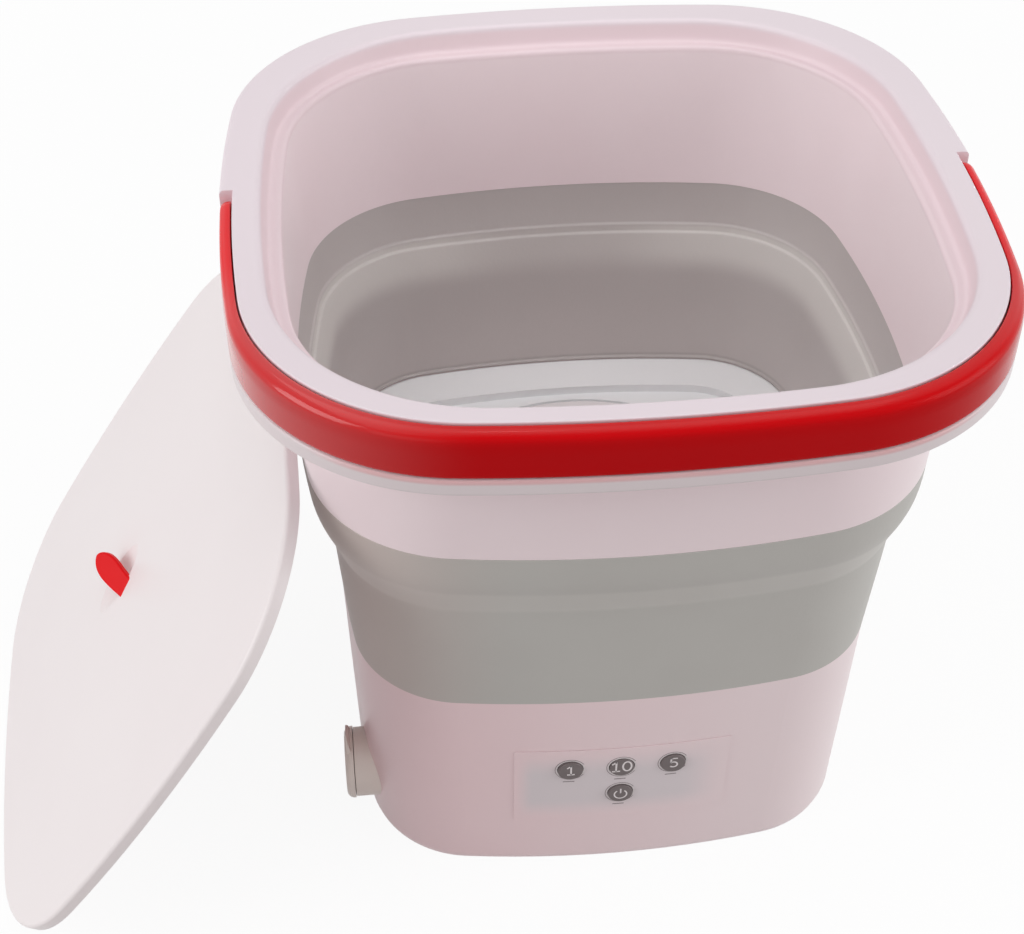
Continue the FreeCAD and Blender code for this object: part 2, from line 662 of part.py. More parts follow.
def button(x, z):
    """Push button: face through the wall, flange behind it, stem towards its switch."""
    face = rod(BUTTON_R, (x, BUTTON_FACE_Y, z), (x, BUTTON_FLANGE_Y, z))
    face = face.makeFillet(BUTTON_ROUND, [e for e in face.Edges if e.BoundBox.YMax < BUTTON_FACE_Y + 0.01])
    flange_end = BUTTON_FLANGE_Y + BUTTON_FLANGE_THICK
    flange = rod(BUTTON_FLANGE_R, (x, BUTTON_FLANGE_Y, z), (x, flange_end, z))
    tip = BOARD_FRONT_Y - SWITCH_HIGH - PLUNGER_HIGH - BUTTON_TRAVEL - PRESS_GAP
    stem = rod(BUTTON_STEM_R, (x, flange_end, z), (x, tip, z))
    return fuse([face, flange, stem])


def control_board():
    """Circuit board on the posts behind the front wall."""
    back = BOARD_FRONT_Y + BOARD_THICK
    plate = block((-BOARD_HALF, BOARD_FRONT_Y, BOARD_LOW_Z), (BOARD_HALF, back, BOARD_TOP_Z))
    return cut(plate, [screw_hole((x, back, z), -Y) for x, z in board_points()])


def board_screws():
    """Four screws holding the board to its posts."""
    back = BOARD_FRONT_Y + BOARD_THICK
    return Part.makeCompound([screw((x, back, z), -Y) for x, z in board_points()])


def tact_switches():
    """One small switch on the board behind each button."""
    items = []
    for x, z in BUTTONS.values():
        top = BOARD_FRONT_Y - SWITCH_HIGH
        low = (x - SWITCH_HALF, top, z - SWITCH_HALF)
        body = block(low, (x + SWITCH_HALF, BOARD_FRONT_Y, z + SWITCH_HALF))
        plunger = rod(PLUNGER_R, (x, top, z), (x, top - PLUNGER_HIGH, z))
        items.append(body.fuse(plunger))
    return Part.makeCompound(items)


def control_label():
    """Thin printed film on the front wall around the buttons."""
    low = inset(BASE_LOW, -LABEL_GLUE)
    high = inset(BASE_TOP, -LABEL_GLUE)
    film = tower(inset(low, -LABEL_THICK), inset(high, -LABEL_THICK)).cut(tower(low, high))
    film = film.common(block((-LABEL_HALF, -FAR, LABEL_LOW_Z), (LABEL_HALF, 0, LABEL_TOP_Z)))
    hole = BUTTON_R + RUN_GAP
    return cut(film, [rod(hole, (x, -FAR, z), (x, 0, z)) for x, z in BUTTONS.values()])


def dc_jack():
    """Power inlet: body behind the rear wall, round nose through it, socket with centre pin."""
    body = block(
        (JACK_X - JACK_HALF, JACK_BACK_Y, JACK_Z - JACK_HALF),
        (JACK_X + JACK_HALF, JACK_BODY_Y, JACK_Z + JACK_HALF),
    )
    nose = rod(JACK_NOSE_R, (JACK_X, JACK_BODY_Y, JACK_Z), (JACK_X, JACK_FACE_Y, JACK_Z))
    bore_y = JACK_FACE_Y - JACK_BORE_LONG
    bore = rod(JACK_BORE_R, (JACK_X, bore_y, JACK_Z), (JACK_X, JACK_FACE_Y + 1, JACK_Z))
    pin = rod(JACK_PIN_R, (JACK_X, bore_y - 1, JACK_Z), (JACK_X, JACK_FACE_Y - 1, JACK_Z))
    return fuse([fuse([body, nose]).cut(bore), pin])


def motor_leads():
    """Two leads from the board to the motor terminals."""
    back = BOARD_FRONT_Y + BOARD_THICK
    items = []
    for x in (-MOTOR_LEAD_X, MOTOR_LEAD_X):
        points = [(x, back, MOTOR_LEAD_Z), (x, back + LEAD_STUB, MOTOR_LEAD_Z)]
        points += [(x, TERMINAL_Y - LEAD_STUB, TERMINAL_Z), (x, TERMINAL_Y, TERMINAL_Z)]
        items.append(hose(points, LEAD_BEND_R, LEAD_R))
    return Part.makeCompound(items)


def jack_leads():
    """Two leads from the power inlet past the motor to the board."""
    back = BOARD_FRONT_Y + BOARD_THICK
    items = []
    for shift in (-LEAD_APART, LEAD_APART):
        start = JACK_X + shift
        side = JACK_LEAD_SIDE + shift
        end = JACK_LEAD_X + shift
        points = [(start, JACK_BACK_Y, JACK_Z), (start, JACK_BACK_Y - LEAD_STUB, JACK_Z)]
        points += [(side, JACK_LEAD_TURN, JACK_Z), (side, -JACK_LEAD_TURN, JACK_Z)]
        points += [(end, back + LEAD_STUB, JACK_Z), (end, back, JACK_Z)]
        items.append(hose(points, LEAD_BEND_R, LEAD_R))
    return Part.makeCompound(items)


def drain_tube():
    """Bent tube from the floor socket to the spout."""
    points = [(DRAIN_X, DRAIN_Y, DRAIN_SOCKET_Z), (DRAIN_X, DRAIN_Y, DRAIN_Z)]
    points.append((SPOUT_IN_X, DRAIN_Y, DRAIN_Z))
    return hose(points, DRAIN_BEND_R, DRAIN_TUBE_R).cut(hose(points, DRAIN_BEND_R, DRAIN_BORE_R))


def drain_spout():
    """Spout through the left wall with a round collar outside."""
    inside = rod(SPOUT_R, (SPOUT_IN_X, DRAIN_Y, DRAIN_Z), (SPOUT_OUT_X, DRAIN_Y, DRAIN_Z))
    collar = rod(SPOUT_COLLAR_R, (SPOUT_IN_X - 3, DRAIN_Y, DRAIN_Z), (SPOUT_OUT_X, DRAIN_Y, DRAIN_Z))
    collar = collar.cut(base_outer())
    bore = rod(SPOUT_BORE_R, (SPOUT_IN_X + 1, DRAIN_Y, DRAIN_Z), (SPOUT_OUT_X - 1, DRAIN_Y, DRAIN_Z))
    return fuse([inside, collar]).cut(bore)


def drain_cap():
    """Pull-off cap: round flange, plug in the spout and a lip to pull at."""
    near = SPOUT_OUT_X - RUN_GAP
    far = near - CAP_FLANGE_THICK
    flange = rod(CAP_FLANGE_R, (near, DRAIN_Y, DRAIN_Z), (far, DRAIN_Y, DRAIN_Z))
    flange = flange.makeFillet(CAP_FLANGE_ROUND, [e for e in flange.Edges if e.BoundBox.XMax < far + 0.01])
    plug_r = SPOUT_BORE_R - RUN_GAP
    plug = rod(plug_r, (near, DRAIN_Y, DRAIN_Z), (near + CAP_PLUG_LONG, DRAIN_Y, DRAIN_Z))
    foot_z = DRAIN_Z + CAP_FLANGE_R - CAP_LIP_SINK
    front, tip_z = far + CAP_LIP_FRONT, DRAIN_Z + CAP_LIP_TOP
    side = [Vector(near, DRAIN_Y, foot_z), Vector(front, DRAIN_Y, foot_z), Vector(front, DRAIN_Y, tip_z)]
    side.append(side[0])
    lip = Part.Face(Part.makePolygon(side)).extrude(Vector(0, 2 * CAP_LIP_HALF, 0))
    lip.translate(Vector(0, -CAP_LIP_HALF, 0))
    crown = Part.makeCylinder(CAP_LIP_HALF, FAR, Vector(-FAR, DRAIN_Y, tip_z - CAP_LIP_HALF), X)
    below = block((-FAR, DRAIN_Y - CAP_LIP_HALF, 0), (0, DRAIN_Y + CAP_LIP_HALF, tip_z - CAP_LIP_HALF))
    return fuse([flange, plug, lip.common(fuse([crown, below]))])


def lid_placement():
    """Pose of the lid: face centre, with local X up the slope, Y along the floor, Z out of the face.

    Its lower edge stands on the floor and its upper rear edge rests on the wall of the shell.
    """
    along = Vector(math.sin(LID_TURN), math.cos(LID_TURN), 0)
    away = Vector(math.cos(LID_TURN), -math.sin(LID_TURN), 0)
    up = away * math.cos(LID_LEAN) + Z * math.sin(LID_LEAN)
    out = up.cross(along)
    height = LID[0] * math.sin(LID_LEAN) + LID_SKIRT * math.cos(LID_LEAN)
    edge = up * LID[0] - out * LID_SKIRT
    wall = between(SHELL_FOOT, SHELL_NECK, height + edge.z)
    x = -wall[0] - LID_REST - edge.x
    matrix = FreeCAD.Matrix()
    matrix.A11, matrix.A21, matrix.A31 = up.x, up.y, up.z
    matrix.A12, matrix.A22, matrix.A32 = along.x, along.y, along.z
    matrix.A13, matrix.A23, matrix.A33 = out.x, out.y, out.z
    matrix.A14, matrix.A24, matrix.A34 = x, LID_Y, height
    return Placement(matrix)


def placed(shape):
    """Shape moved from the lid's own frame to where the lid leans."""
    shape.Placement = lid_placement().multiply(shape.Placement)
    return shape


def pull_hole():
    """Slot in the lid that the shank of the pull fills, in the lid's frame."""
    wide, thick = PULL_SHANK
    slot = block((-wide / 2, -thick / 2, -LID_SKIRT), (wide / 2, thick / 2, 1))
    slot.rotate(Vector(0, 0, 0), Z, PULL_TURN)
    slot.translate(Vector(PULL_FOOT[0], PULL_FOOT[1], 0))
    return slot


def scooped(shape):
    """Shape moved to the place and turn of the finger scoop, in the lid's frame."""
    shape.rotate(Vector(0, 0, 0), Z, SCOOP_TURN)
    shape.translate(Vector(SCOOP_AT[0], SCOOP_AT[1], 0))
    return shape


def scoop():
    """Long lens that hollows the finger scoop out: an arc turned about a line above the lid."""
    deep = SCOOP_DEEP
    long_r = (SCOOP_HALF_LONG ** 2 + deep ** 2) / (2 * deep)
    axis_z = (SCOOP_HALF_WIDE ** 2 - deep ** 2) / (2 * deep)
    end = SCOOP_HALF_LONG + SCOOP_OVER
    end_z = long_r - deep - math.sqrt(long_r ** 2 - end ** 2)
    low = [Vector(-end, 0, end_z), Vector(0, 0, -deep), Vector(end, 0, end_z)]
    high = [Vector(end, 0, axis_z), Vector(-end, 0, axis_z)]
    edges = [Part.Arc(*low).toShape(), Part.LineSegment(low[2], high[0]).toShape()]
    edges += [Part.LineSegment(*high).toShape(), Part.LineSegment(high[1], low[0]).toShape()]
    lens = Part.Face(Part.Wire(edges)).revolve(Vector(0, 0, axis_z), X, 360)
    return scooped(lens)


def scoop_boss():
    """Long rounded boss under the lid plate that carries the finger scoop."""
    radius = SCOOP_HALF_WIDE + SCOOP_BORDER
    run = SCOOP_HALF_LONG + SCOOP_BORDER - radius
    low = -LID_PLATE - SCOOP_BOSS
    high = -LID_PLATE / 2
    ends = [rod(radius, (x, 0, low), (x, 0, high)) for x in (-run, run)]
    return scooped(fuse(ends + [block((-run, -radius, low), (run, radius, high))]))


def lid_body():
    """Lid in its own frame: plate, skirt and a shallow finger scoop on a boss."""
    plate = tower(at(LID, -LID_SKIRT), at(LID, 0))
    plate = plate.makeFillet(LID_ROUND, [e for e in plate.Edges if e.BoundBox.ZMin > -0.01])
    under = inset(LID, LID_WALL)
    plate = plate.cut(tower(at(under, -LID_SKIRT - 1), at(under, -LID_PLATE)))
    return fuse([plate, scoop_boss()]).cut(scoop())


def lid():
    """Loose lid, leaning on the left side of the tub."""
    return placed(lid_body().cut(pull_hole()))


def lid_pull():
    """Leaf-shaped pull that leans over the finger scoop, held by a shank through the lid."""
    half = PULL_ROOT_HALF
    leaf = [Vector(-half, 0, -PULL_ROOT), *[Vector(a, 0, b) for a, b in PULL_LEAF]]
    leaf.append(Vector(half, 0, -PULL_ROOT))
    curve = Part.BSplineCurve()
    curve.interpolate(leaf)
    edges = [curve.toShape(), Part.LineSegment(leaf[-1], leaf[0]).toShape()]
    tab = Part.Face(Part.Wire(edges)).extrude(Vector(0, PULL_THICK, 0))
    tab.translate(Vector(0, -PULL_THICK / 2, 0))
    rims = [e for e in tab.Edges if e.BoundBox.ZMax > 0 and e.BoundBox.YLength < PULL_ROUND]
    tab = tab.makeFillet(PULL_ROUND, rims)
    tab.rotate(Vector(0, 0, 0), X, -PULL_TILT)
    tab.rotate(Vector(0, 0, 0), Z, PULL_TURN)
    tab.translate(Vector(PULL_FOOT[0], PULL_FOOT[1], 0))
    under_z = -LID_PLATE - SCOOP_BOSS
    below = block((-FAR, -FAR, -FAR), (FAR, FAR, under_z + PULL_TRIM))
    tab = tab.cut(lid_body()).cut(below)
    tab = max(tab.Solids, key=lambda s: s.BoundBox.ZMax)
    shank = pull_hole().common(block((-FAR, -FAR, under_z), (FAR, FAR, 1)))
    return placed(fuse([tab, shank]))


NODES = {
    "base_housing": base_housing,
    "tub_floor": tub_floor,
    "bottom_cover": bottom_cover,
    "cover_screws": cover_screws,
    "rubber_feet": rubber_feet,
    "motor": motor,
    "motor_bracket": motor_bracket,
    "motor_screws": motor_screws,
    "shaft_bush": shaft_bush,
    "shaft_seal": shaft_seal,
    "control_board": control_board,
    "board_screws": board_screws,
    "tact_switches": tact_switches,
    "control_label": control_label,
    "dc_jack": dc_jack,
    "motor_leads": motor_leads,
    "jack_leads": jack_leads,
    "drain_tube": drain_tube,
    "drain_spout": drain_spout,
    "drain_cap": drain_cap,
    "fold_wall": fold_wall,
    "upper_band": upper_band,
    "upper_shell": upper_shell,
    "pivot_pins": pivot_pins,
    "handle": handle,
    "drive_shaft": drive_shaft,
    "pulsator": pulsator,
    "pulsator_screw": pulsator_screw,
    "pulsator_cap": pulsator_cap,
    "lid": lid,
    "lid_pull": lid_pull,
}

for name, make in NODES.items():
    make().exportStep("parts/%s.step" % name)
for name, (x, z) in BUTTONS.items():
    button(x, z).exportStep("parts/%s.step" % name)
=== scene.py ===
import math

import bmesh
import bpy
import numpy as np
from mathutils import Matrix, Vector


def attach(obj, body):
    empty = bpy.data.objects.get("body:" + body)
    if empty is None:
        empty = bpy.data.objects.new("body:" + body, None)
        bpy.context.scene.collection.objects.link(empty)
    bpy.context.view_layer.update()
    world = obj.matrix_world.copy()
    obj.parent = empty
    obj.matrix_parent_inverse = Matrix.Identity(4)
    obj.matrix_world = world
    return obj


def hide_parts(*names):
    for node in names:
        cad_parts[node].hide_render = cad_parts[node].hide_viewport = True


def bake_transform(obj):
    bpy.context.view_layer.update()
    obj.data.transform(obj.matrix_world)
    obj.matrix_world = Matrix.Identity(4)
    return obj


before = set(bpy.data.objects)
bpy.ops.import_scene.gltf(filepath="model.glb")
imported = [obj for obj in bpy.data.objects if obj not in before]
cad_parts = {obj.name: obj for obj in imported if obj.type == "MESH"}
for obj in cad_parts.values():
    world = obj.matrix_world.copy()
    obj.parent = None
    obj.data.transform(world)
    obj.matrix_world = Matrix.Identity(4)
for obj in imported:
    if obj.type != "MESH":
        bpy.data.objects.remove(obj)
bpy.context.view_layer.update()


# Base housing. A tapered rounded-square box, injection moulded in white polypropylene with a
# faint pink tint and a satin mould surface. It stands on the floor and holds all the machinery.
class Signal:
    """One socket of a material's node tree; arithmetic on signals adds Math nodes."""

    def __init__(self, tree, socket=None):
        self.tree = tree
        self.socket = socket

    def node(self, kind, settings=None, inputs=None, output=0):
        """Adds any node: settings first, then the values or links of its sockets."""
        made = self.tree.nodes.new(kind)
        for key, value in (settings or {}).items():
            setattr(made, key, value)
        for key, value in (inputs or {}).items():
            if isinstance(value, Signal):
                self.tree.links.new(value.socket, made.inputs[key])
            else:
                made.inputs[key].default_value = value
        return Signal(self.tree, made.outputs[output])

    def maths(self, operation, first, second=0.0):
        """Adds one Math node on signals or numbers."""
        return self.node("ShaderNodeMath", {"operation": operation}, {0: first, 1: second})

    def __add__(self, other):
        return self.maths("ADD", self, other)

    def __radd__(self, other):
        return self.maths("ADD", other, self)

    def __sub__(self, other):
        return self.maths("SUBTRACT", self, other)

    def __rsub__(self, other):
        return self.maths("SUBTRACT", other, self)

    def __mul__(self, other):
        return self.maths("MULTIPLY", self, other)

    def __rmul__(self, other):
        return self.maths("MULTIPLY", other, self)


CLOUD_DETAIL = 3.0
GRAIN_RELIEF = 0.0004
GRAIN_DULLS = 0.08
CLOUD_DULLS = 0.05
MEAN_DULLS = 0.06


def linear(red, green, blue):
    """Scene-linear colour from the 0 to 255 values of a colour chart, by the sRGB curve."""
    share = np.array([red, green, blue]) / 255
    value = np.where(share <= 0.04045, share / 12.92, ((share + 0.055) / 1.055) ** 2.4)
    return (*[float(v) for v in value], 1.0)


def moulded(name, colour, tint, rough, grain=0.05, grain_size=900.0, cloud=14.0):
    """Moulded plastic: broad clouds mix colour with tint, fine grain shades roughness and bump."""
    finish = bpy.data.materials.new(name)
    finish.use_nodes = True
    tree = finish.node_tree
    shader = tree.nodes["Principled BSDF"]
    start = Signal(tree)
    place = start.node("ShaderNodeTexCoord", output="Object")
    clouds = start.node(
        "ShaderNodeTexNoise", None, {"Vector": place, "Scale": cloud, "Detail": CLOUD_DETAIL}
    )
    fine = start.node("ShaderNodeTexNoise", None, {"Vector": place, "Scale": grain_size})
    mixed = start.node(
        "ShaderNodeMix",
        {"data_type": "RGBA"},
        {"Factor": clouds, "A": linear(*colour), "B": linear(*tint)},
        output="Result",
    )
    relief = start.node(
        "ShaderNodeBump", None, {"Height": fine, "Strength": grain, "Distance": GRAIN_RELIEF}
    )
    roughness = rough - MEAN_DULLS + fine * GRAIN_DULLS + clouds * CLOUD_DULLS
    tree.links.new(mixed.socket, shader.inputs["Base Color"])
    tree.links.new(roughness.socket, shader.inputs["Roughness"])
    tree.links.new(relief.socket, shader.inputs["Normal"])
    return finish


def axes(finish):
    """Object coordinates in a finish: the vector, then its three parts."""
    start = Signal(finish.node_tree)
    place = start.node("ShaderNodeTexCoord", output="Object")
    parts = [start.node("ShaderNodeSeparateXYZ", None, {"Vector": place}, axis) for axis in "XYZ"]
    return place, *parts


def risen(value, low, high):
    """Smooth step from 0 to 1 while a signal goes from low to high."""
    limits = {"Value": value, "From Min": low, "From Max": high}
    return value.node("ShaderNodeMapRange", {"interpolation_type": "SMOOTHSTEP"}, limits)


def tone(finish, share, colour):
    """Mixes one more colour into a finish by a share."""
    tree = finish.node_tree
    socket = tree.nodes["Principled BSDF"].inputs["Base Color"]
    before = Signal(tree, socket.links[0].from_socket)
    mixed = share.node(
        "ShaderNodeMix",
        {"data_type": "RGBA"},
        {"Factor": share, "A": before, "B": linear(*colour)},
        output="Result",
    )
    tree.links.new(mixed.socket, socket)


def dress(finish, *names):
    """Gives CAD nodes a finish."""
    for name in names:
        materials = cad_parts[name].data.materials
        materials.clear()
        materials.append(finish)


# Shades follow the Object coordinates, so where they begin and end is given in metres.
BASE_WHITE = (243, 225, 228)
BASE_TINT = (239, 215, 219)
# Painted side light: the base is drawn pinker on its left side and cooler on its right.
PAINTED_LEFT_PINK = (247, 210, 213)
PAINTED_RIGHT_COOL = (245, 234, 235)
PAINTED_SIDE_REACH = 0.10
PAINTED_SIDE_SHARE = 0.5


def with_painted_side_light(name):
    """White of the base with painted side light: pinker towards the left side, cooler towards the
    right.
    """
    finish = moulded(name, BASE_WHITE, BASE_TINT, 0.36)
    _, across, _, _ = axes(finish)
    tone(finish, risen(across, PAINTED_SIDE_REACH, -PAINTED_SIDE_REACH) * PAINTED_SIDE_SHARE, PAINTED_LEFT_PINK)
    tone(finish, risen(across, -PAINTED_SIDE_REACH, PAINTED_SIDE_REACH) * PAINTED_SIDE_SHARE, PAINTED_RIGHT_COOL)
    return finish


base_white = with_painted_side_light("base_white")
dress(base_white, "base_housing", "bottom_cover")

# Feet and cover screws. Four round rubber feet glued under the cover plate, and four small
# zinc-plated screws that hold the plate to the posts of the housing.
foot_rubber = moulded(
    "foot_rubber", (58, 56, 56), (44, 43, 43), 0.75, grain=0.25, grain_size=500.0, cloud=40.0
)
dress(foot_rubber, "rubber_feet")


def plated(name, colour, tint, rough):
    """Bare or plated metal: the clouds and grain of a moulding, smaller, on a metallic base."""
    finish = moulded(name, colour, tint, rough, grain=0.04, grain_size=600.0, cloud=60.0)
    finish.node_tree.nodes["Principled BSDF"].inputs["Metallic"].default_value = 1.0
    return finish


zinc = plated("screw_zinc", (188, 188, 184), (160, 160, 156), 0.32)
dress(zinc, "cover_screws", "board_screws", "motor_screws", "pulsator_screw")

# Drive. A can motor hangs on a steel plate under the tub floor; its shaft runs in a sintered
# bush below a rubber seal. All of it is closed in by the housing.
steel = plated("plate_steel", (172, 174, 176), (150, 152, 155), 0.38)
dress(steel, "motor_bracket", "drive_shaft")
motor_zinc = plated("motor_can", (150, 152, 153), (126, 128, 130), 0.42)
dress(motor_zinc, "motor")
bronze = plated("bush_bronze", (176, 134, 84), (150, 108, 64), 0.45)
dress(bronze, "shaft_bush")
seal_rubber = moulded(
    "seal_rubber", (42, 42, 44), (30, 30, 32), 0.6, grain=0.2, grain_size=700.0, cloud=60.0
)
dress(seal_rubber, "shaft_seal")

# Electrics. A resin-glass board behind the front wall with four push switches, and stranded
# leads in soft sleeves from the board to the motor and to the power inlet.
board_resin = moulded(
    "board_resin", (38, 92, 62), (30, 74, 50), 0.4, grain=0.1, grain_size=400.0, cloud=50.0
)
dress(board_resin, "control_board")
switch_resin = moulded(
    "switch_resin", (40, 40, 42), (28, 28, 30), 0.5, grain=0.1, grain_size=800.0, cloud=80.0
)
dress(switch_resin, "tact_switches", "dc_jack")
lead_sleeve = moulded("lead_sleeve", (150, 24, 26), (122, 16, 18), 0.5, grain=0.08, cloud=60.0)
dress(lead_sleeve, "motor_leads", "jack_leads")

# Drain. A soft milky tube leads from the floor to a spout in the left wall; a milky soft cap
# with a lip for the thumb is pulled off to let the water out.
milky = moulded(
    "drain_milky", (247, 237, 229), (241, 228, 220), 0.42, grain=0.06, grain_size=600.0, cloud=30.0
)
dress(milky, "drain_tube", "drain_spout", "drain_cap")

# Tub floor. A white pan with sloped borders, pressed into the ledge of the housing, with a
# round ridge around the pulsator and a hole for the drain.
floor_white = moulded("floor_white", (252, 253, 254), (248, 249, 250), 0.34)
dress(floor_white, "tub_floor")

# Pulsator. A perforated disc with six low vanes, moulded in a slightly warmer white than the
# floor. A screw under its slotted cap holds it to the shaft.
pulsator_white = moulded("pulsator_white", (242, 237, 238), (236, 230, 231), 0.34)
dress(pulsator_white, "pulsator", "pulsator_cap")

# Folding wall. One soft grey thermoplastic-rubber moulding between base and shell: an upright
# lower wall, a crease, and a rounded shoulder with two fine steps inside. It turns inside out.
MM = 0.001

# A ring of the tub is written as a station, in millimetres: half its width, the radius of its
# corners, the radius of its bowed sides, extra reach of the left and right sides, and height.
BASE_TOP = (107.0, 45.0, 430.0, 0.0, 100.0)
FOLD_LOW = (109.0, 47.2, 430.0, 0.0, 127.0)
FOLD_CREASE = (110.6, 48.9, 430.0, 0.0, 150.0)
FOLD_BEND = (111.4, 49.8, 430.0, 0.0, 155.0)
FOLD_STEP = (114.0, 52.6, 430.0, 0.0, 162.0)
FOLD_SHOULDER = (116.9, 55.7, 430.0, 0.0, 169.0)
BAND_FOOT = (118.4, 57.3, 430.0, 0.0, 174.0)
BAND_HIGH = (119.2, 58.2, 430.0, 0.0, 180.0)
SHELL_FOOT = (119.4, 58.4, 430.0, 0.0, 188.0)
STEP_TOP = (114.9, 53.7, 428.0, 0.0, 168.7)
STEP_HIGH = (113.9, 52.5, 428.0, 0.0, 168.2)
STEP_MIDDLE = (113.4, 52.0, 428.0, 0.0, 165.2)
STEP_LOW = (112.2, 50.7, 428.0, 0.0, 164.6)
FOLD_WALL = 2.0
FOOT_LIP = 3.1
FOOT_HIGH = 1.4
OUTSIDE_ROUNDS = [20.0, 6.0, 1.2, 3.0, 3.0, 3.0, 3.0, 0.4]
INSIDE_ROUNDS = [0.4, 3.0, 3.0, 0.6, 0.5, 0.5, 0.5, 3.0, 6.0, 20.0, 0.5, 0.4, 0.2]
WALL_STEP = 1.6
WALL_SIDES = 10
WALL_CORNERS = 26
ARCS = 12
LEFT_MIDDLE = 6
CUT_LIMIT = 0.46
SUPPORT_LIMIT = 0.48
LEAST_LENGTH = 1e-9
MERGE_DISTANCE = 2e-6
SLIVER = 1e-7
SMOOTH_ANGLE = 40.0


def arc_centres(half, corner, bow, side):
    """Centres of the side and corner arcs of a bowed square, and the angles where they meet.

    The centre of a corner arc lies at the difference of the two radii from both side centres.
    """
    kx = half + side - bow
    ky = half - bow
    apart = np.hypot(kx, ky)
    reach = np.sqrt((bow - corner) ** 2 - apart ** 2 / 4)
    dx = kx / 2 - reach * ky / apart
    dy = ky / 2 - reach * kx / apart
    return kx, ky, dx, dy, np.arctan2(dy, dx - kx), np.arctan2(dy - ky, dx)


def bowed_square(half, corner, bow, side, turn):
    """Points of bowed-square rings as x and y arrays.

    Turn counts the twelve arcs of a ring from the middle of its right side: half a side, a
    corner, half a side, four times over. On each arc the outward normal swings evenly, and a
    point is the arc's centre plus the arc's radius times that normal. Side moves the left and
    right sides further out.
    """
    kx, ky, dx, dy, first, second = arc_centres(half, corner, bow, side)
    quarter = np.full_like(first, math.pi / 2)
    breaks = [quarter * 0, first, second]
    breaks += [quarter, 2 * quarter - second, 2 * quarter - first]
    breaks += [angle + 2 * quarter for angle in breaks] + [4 * quarter]
    turn = np.mod(turn, ARCS)
    arc = np.floor(turn).astype(int)
    part = turn - arc
    angle = np.choose(arc, breaks[:-1]) * (1 - part) + np.choose(arc, breaks[1:]) * part
    right = np.where((arc < 3) | (arc > 8), 1.0, -1.0)
    back = np.where(arc < 6, 1.0, -1.0)
    on_corner = arc % 3 == 1
    on_side = np.isin(arc, (0, 5, 6, 11))
    centre_x = np.where(on_corner, right * dx, np.where(on_side, right * kx, 0.0))
    centre_y = np.where(on_corner, back * dy, np.where(on_side, 0.0, back * ky))
    radius = np.where(on_corner, corner, bow)
    return centre_x + radius * np.cos(angle), centre_y + radius * np.sin(angle)


def eased(stations, radii, steps=7, support=0.35):
    """Profile of ring stations with rounded corners.

    Each corner is left at its radius before the point and joined again as far behind it, with
    a parabola between; a support station stands just outside each end of the rounding.
    """
    stations = np.array(stations, float)
    before = stations[:-2] - stations[1:-1]
    after = stations[2:] - stations[1:-1]
    size_before = np.hypot(before[:, 0], before[:, 4])[:, None] + LEAST_LENGTH
    size_after = np.hypot(after[:, 0], after[:, 4])[:, None] + LEAST_LENGTH
    shorter = np.minimum(size_before, size_after)
    cut = np.minimum(np.array(radii, float)[:, None], CUT_LIMIT * shorter)
    wide = np.minimum(cut + support, SUPPORT_LIMIT * shorter)
    middle = stations[1:-1]
    start = middle + before / size_before * cut
    end = middle + after / size_after * cut
    t = np.linspace(0, 1, steps)[None, :, None]
    bend = (1 - t) ** 2 * start[:, None] + 2 * t * (1 - t) * middle[:, None] + t ** 2 * end[:, None]
    lead = (middle + before / size_before * wide)[:, None]
    trail = (middle + after / size_after * wide)[:, None]
    inner = np.concatenate([lead, bend, trail], axis=1).reshape(-1, stations.shape[1])
    return np.concatenate([stations[:1], inner, stations[-1:]])


def evened(profiles, step):
    """The same profiles with extra stations, so that none are further apart than the step."""
    runs = [np.hypot(np.diff(p[:, 0]), np.diff(p[:, 4])) for p in profiles]
    count = np.maximum(np.ceil(np.max(runs, axis=0) / step), 1).astype(int)
    share = np.concatenate([np.arange(n) / n for n in count])[:, None]
    first = np.repeat(np.arange(len(count)), count)
    return [
        np.concatenate([p[first] * (1 - share) + p[first + 1] * share, p[-1:]]) for p in profiles
    ]


def inward(station, by):
    """The same ring moved inwards by a distance."""
    half, corner, bow, side, z = station
    return (half - by, corner - by, bow - by, side, z)


def round_turns(side_count, corner_count):
    """Turn values once round a ring, with more of them on the corners than on the sides."""
    sides = np.linspace(0, 1, side_count, endpoint=False)
    corners = np.linspace(0, 1, corner_count, endpoint=False)
    quarter = np.concatenate([sides, 1 + corners, 2 + sides])
    return np.concatenate([quarter + 3 * i for i in range(4)])


def grid_piece(name, grids, finish, wrap_rows=False, wrap_columns=False):
    """Mesh object of grids of points: quads between neighbours, doubles merged, faces outwards."""
    points = np.concatenate([grid.reshape(-1, 3) for grid in grids]) * MM
    faces = []
    first = 0
    for grid in grids:
        rows, columns = grid.shape[:2]
        index = first + np.arange(rows * columns).reshape(rows, columns)
        first += rows * columns
        if wrap_rows:
            index = np.concatenate([index, index[:1]])
        if wrap_columns:
            index = np.concatenate([index, index[:, :1]], axis=1)
        quads = np.stack([index[:-1, :-1], index[:-1, 1:], index[1:, 1:], index[1:, :-1]], axis=-1)
        faces += quads.reshape(-1, 4).tolist()
    mesh = bpy.data.meshes.new(name)
    mesh.from_pydata(points.tolist(), [], faces)
    shape = bmesh.new()
    shape.from_mesh(mesh)
    bmesh.ops.remove_doubles(shape, verts=shape.verts, dist=MERGE_DISTANCE)
    bmesh.ops.dissolve_degenerate(shape, edges=shape.edges, dist=SLIVER)
    bmesh.ops.recalc_face_normals(shape, faces=shape.faces)
    shape.to_mesh(mesh)
    shape.free()
    mesh.shade_smooth()
    mesh.set_sharp_from_angle(angle=math.radians(SMOOTH_ANGLE))
    mesh.materials.append(finish)
    piece = bpy.data.objects.new(name, mesh)
    bpy.context.scene.collection.objects.link(piece)
    return piece


